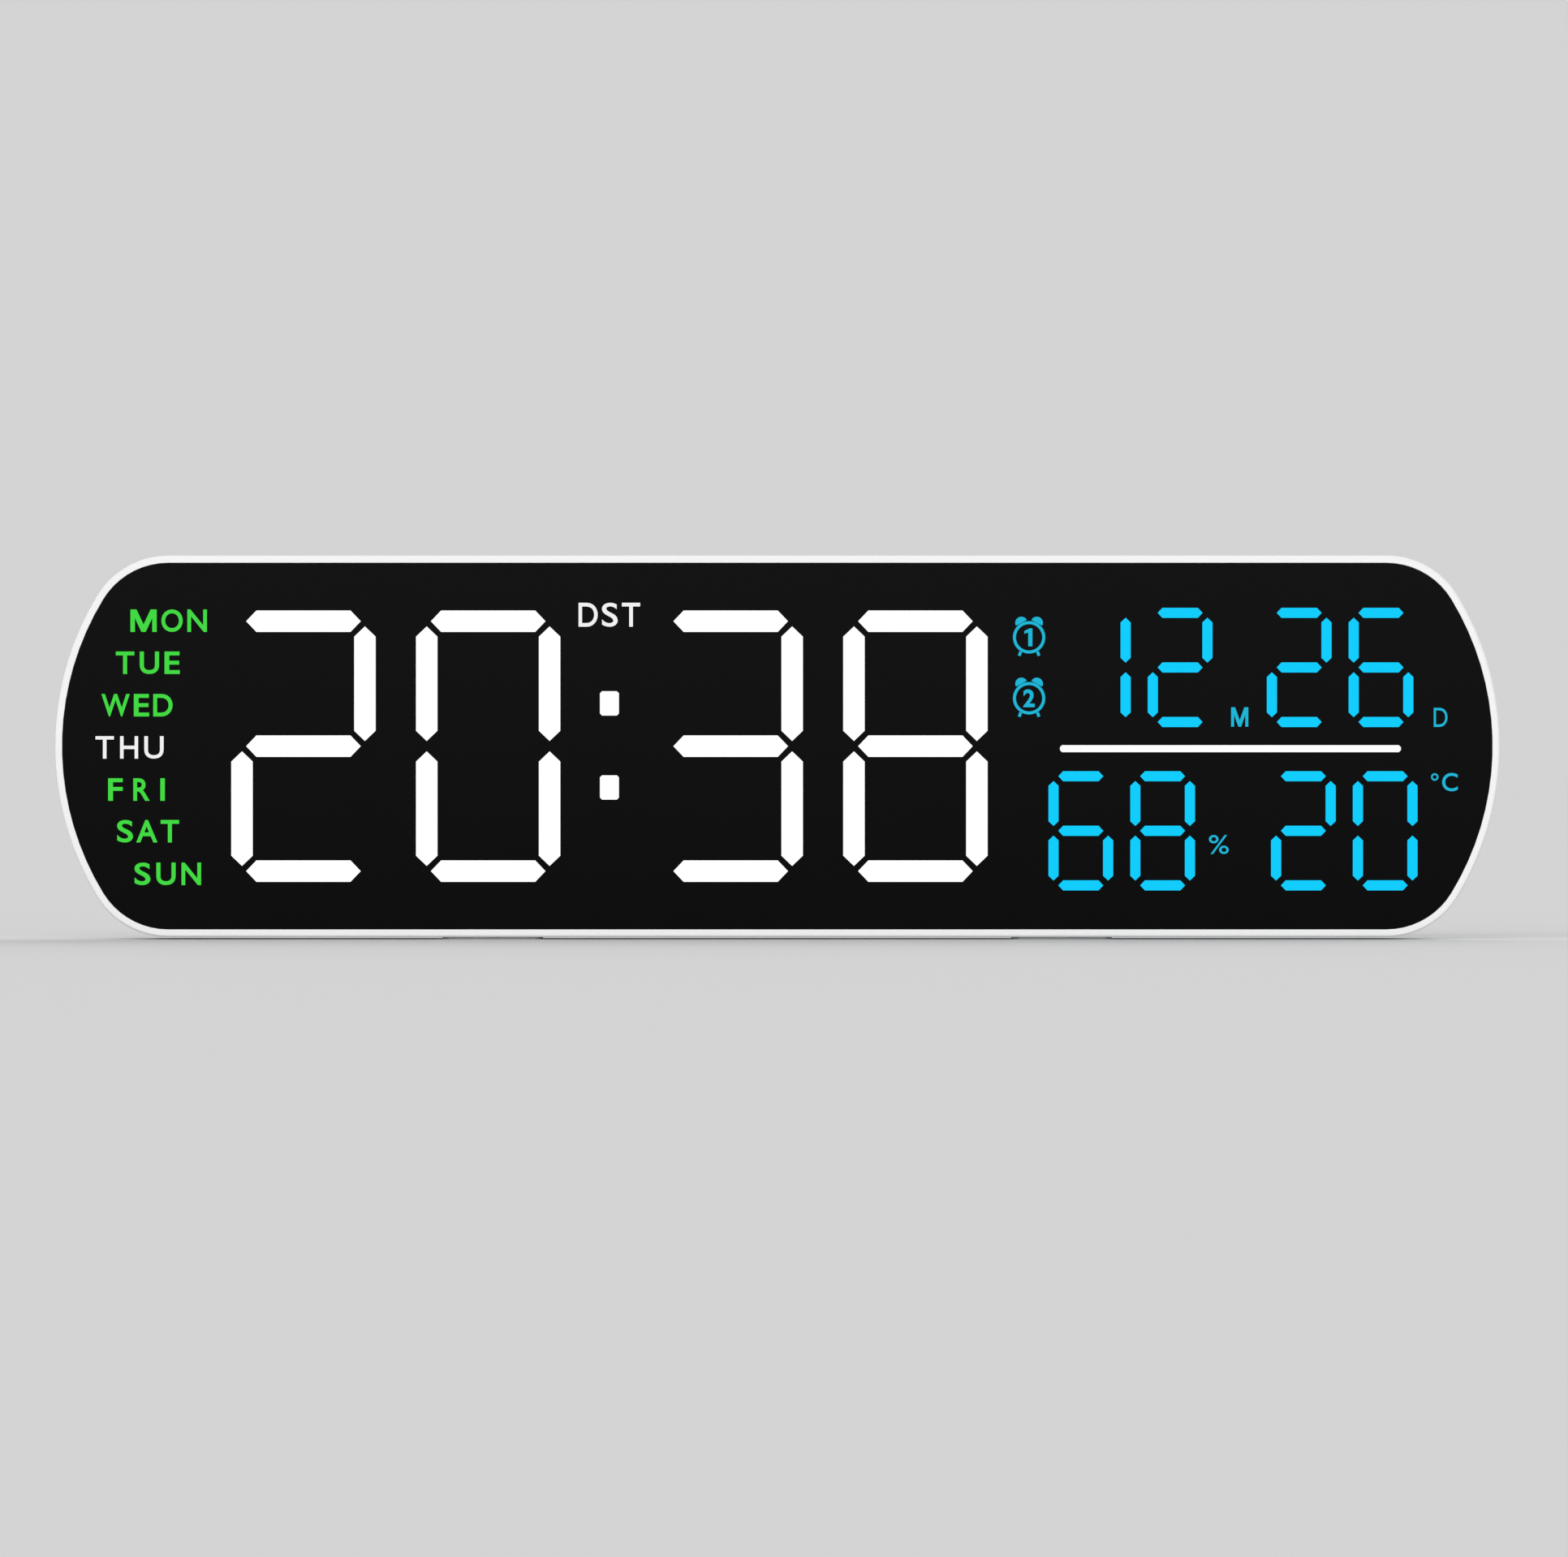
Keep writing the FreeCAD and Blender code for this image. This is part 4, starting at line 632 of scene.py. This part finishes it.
def cross_cutter(x, y, z):
    """A cross that narrows downwards, for the recess of a screw head."""
    plus = plus_outline(1.35, 0.28)
    built = bmesh.new()
    rings = []
    for share, height in CROSS_LEVELS:
        rings.append([built.verts.new((x + u * share * MM, y + height * MM, z + v * share * MM))
                      for u, v in plus])
    for index in range(len(plus)):
        built.faces.new([rings[0][index - 1], rings[0][index], rings[1][index], rings[1][index - 1]])
    for ring in rings:
        built.faces.new(ring)
    bmesh.ops.recalc_face_normals(built, faces=built.faces)
    return built


def as_object(name, parts, surface):
    """One object of several bmesh solids."""
    mesh = bpy.data.meshes.new(name)
    whole = bmesh.new()
    for part in parts:
        part.to_mesh(mesh)
        part.free()
        whole.from_mesh(mesh)
    whole.to_mesh(mesh)
    whole.free()
    mesh.materials.append(surface)
    return add_object(name, mesh)


HEAD_HEIGHT = 2.0
HEAD_HALF = 2.5  # of the CAD node's heads
SCREW_SHARP_ANGLE = math.radians(35)
# radius and height over the seat of the head, in millimetres
SCREW_PROFILE = [(0, -10.0), (0.9, -10.0), (1.3, -9.2), (1.3, 0), (2.42, 0), (2.48, 0.25), (2.46, 0.8),
                 (2.25, 1.3), (1.75, 1.7), (1.0, 1.93), (0, 2.0)]


def case_screws():
    """Six domed screws with a cross recess, in the deep recesses of the rear cover."""
    low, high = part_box("case_screws")
    head_top = high[1]
    seat = head_top - HEAD_HEIGHT * MM
    places = [(x, z) for x in (low[0] + HEAD_HALF * MM, (low[0] + high[0]) / 2, high[0] - HEAD_HALF * MM)
              for z in (low[2] + HEAD_HALF * MM, high[2] - HEAD_HALF * MM)]
    whole = as_object("cross_head_screws", [lathe(SCREW_PROFILE, x, seat, z) for x, z in places], steel)
    cutter = as_object("screw_cutter", [cross_cutter(x, head_top, z) for x, z in places], steel)
    cut = whole.modifiers.new("recess", "BOOLEAN")
    cut.operation = "DIFFERENCE"
    cut.solver = "EXACT"
    cut.object = cutter
    bpy.context.view_layer.update()
    mesh = bpy.data.meshes.new_from_object(whole.evaluated_get(bpy.context.evaluated_depsgraph_get()))
    clean = bmesh.new()
    clean.from_mesh(mesh)
    bmesh.ops.remove_doubles(clean, verts=clean.verts, dist=TOUCH / 2)
    bmesh.ops.dissolve_degenerate(clean, dist=TOUCH / 2, edges=clean.edges)
    clean.to_mesh(mesh)
    clean.free()
    whole.modifiers.clear()
    whole.data = mesh
    bpy.data.objects.remove(cutter)
    mesh.set_sharp_from_angle(angle=SCREW_SHARP_ANGLE)
    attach(whole, "clock")
    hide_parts("case_screws")


case_screws()


CELL_MARK_HEIGHT = 5.5 * MM  # over the cell's middle


def cell_mark():
    """The plus sign stamped on the coin cell."""
    low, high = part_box("coin_cell")
    x, z = (low[0] + high[0]) / 2, (low[2] + high[2]) / 2 + CELL_MARK_HEIGHT
    plus = plus_outline(1.6 * MM, 0.3 * MM)
    raised("cell_plus_mark", [(x + u, z + v) for u, v in plus], [list(range(len(plus)))], key_grey,
           base=high[1], proud=PROUD, slot="key_grey")


cell_mark()


TONGUE_HALF_WIDTH = 3.4 * MM
TONGUE_HALF_HEIGHT = 0.5 * MM


def socket_tongue():
    """Blackens the plastic tongue inside the supply socket's steel shell."""
    mesh = nodes["usb_socket"].data
    low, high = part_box("usb_socket")
    x, z = (low[0] + high[0]) / 2, (low[2] + high[2]) / 2
    mesh.materials.append(chip_black)
    for face in mesh.polygons:
        corners = [mesh.vertices[index].co for index in face.vertices]
        if all(abs(corner.x - x) < TONGUE_HALF_WIDTH and abs(corner.z - z) < TONGUE_HALF_HEIGHT
               for corner in corners):
            face.material_index = 1


socket_tongue()


# ---------------------------------------------------------------- floor, light and camera

def view_color(tree, light, shown):
    """Shows one shader to the camera, in reflections and through clear things, and another to other light."""
    path = tree.nodes.new("ShaderNodeLightPath")
    seen = tree.nodes.new("ShaderNodeMath")
    seen.operation = "MAXIMUM"
    tree.links.new(path.outputs["Is Camera Ray"], seen.inputs[0])
    tree.links.new(path.outputs["Is Glossy Ray"], seen.inputs[1])
    through = tree.nodes.new("ShaderNodeMath")
    through.operation = "MAXIMUM"
    tree.links.new(seen.outputs[0], through.inputs[0])
    tree.links.new(path.outputs["Is Transmission Ray"], through.inputs[1])
    mix = tree.nodes.new("ShaderNodeMixShader")
    tree.links.new(through.outputs[0], mix.inputs[0])
    tree.links.new(light.outputs[0], mix.inputs[1])
    tree.links.new(shown.outputs[0], mix.inputs[2])
    return mix


AMBIENT = 0.53
BACKDROP = 0.656  # as bright as the lit floor, so that no horizon shows

world = bpy.data.worlds.new("studio")
world.use_nodes = True
bpy.context.scene.world = world
tree = world.node_tree
ambient = tree.nodes["Background"]
ambient.inputs["Color"].default_value = (1.0, 1.0, 1.0, 1.0)
ambient.inputs["Strength"].default_value = AMBIENT
backdrop = tree.nodes.new("ShaderNodeBackground")
backdrop.inputs["Color"].default_value = (1.0, 1.0, 1.0, 1.0)
backdrop.inputs["Strength"].default_value = BACKDROP
tree.links.new(view_color(tree, ambient, backdrop).outputs[0], tree.nodes["World Output"].inputs["Surface"])

FLOOR_HALF = 40.0
FLOOR_PALE = (0.745, 0.745, 0.745, 1.0)
pale = material("floor_pale", FLOOR_PALE, 0.9, specular=0.0, tint=0.005, tint_scale=2.0)
floor = add_mesh("floor", [(-FLOOR_HALF, -FLOOR_HALF, 0), (FLOOR_HALF, -FLOOR_HALF, 0),
                           (FLOOR_HALF, FLOOR_HALF, 0), (-FLOOR_HALF, FLOOR_HALF, 0)], [[0, 1, 2, 3]], pale)


def add_sun(name, strength, spread, towards):
    """A soft sun, its spread in degrees, that shines in the given direction."""
    lamp = bpy.data.lights.new(name, "SUN")
    lamp.energy = strength
    lamp.angle = math.radians(spread)
    holder = add_object(name, lamp)
    holder.rotation_euler = Vector(towards).to_track_quat("-Z", "Y").to_euler()


add_sun("key_light", strength=1.75, spread=80, towards=(0.22, 0.90, -0.36))
add_sun("back_light", strength=1.15, spread=80, towards=(-0.48, -0.75, -0.32))

# The camera looks straight at the front, from so far that the photograph's flat view comes out.
CAMERA_DISTANCE = 3.0
CAMERA_X = 0.00176
CAMERA_Z = 0.0423
FRONT_WIDTH = 0.4121  # of the picture, at the front of the frame
SENSOR_WIDTH = 36.0
camera_data = bpy.data.cameras.new("camera")
camera_data.sensor_width = SENSOR_WIDTH
camera_data.sensor_fit = "HORIZONTAL"
camera_data.lens = SENSOR_WIDTH * CAMERA_DISTANCE / FRONT_WIDTH
camera_data.clip_end = 200.0
camera = add_object("camera", camera_data)
camera.location = (CAMERA_X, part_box("front_frame")[0][1] - CAMERA_DISTANCE, CAMERA_Z)
camera.rotation_euler = (math.radians(90), 0, 0)
bpy.context.scene.camera = camera
bpy.context.scene.view_settings.view_transform = "Standard"
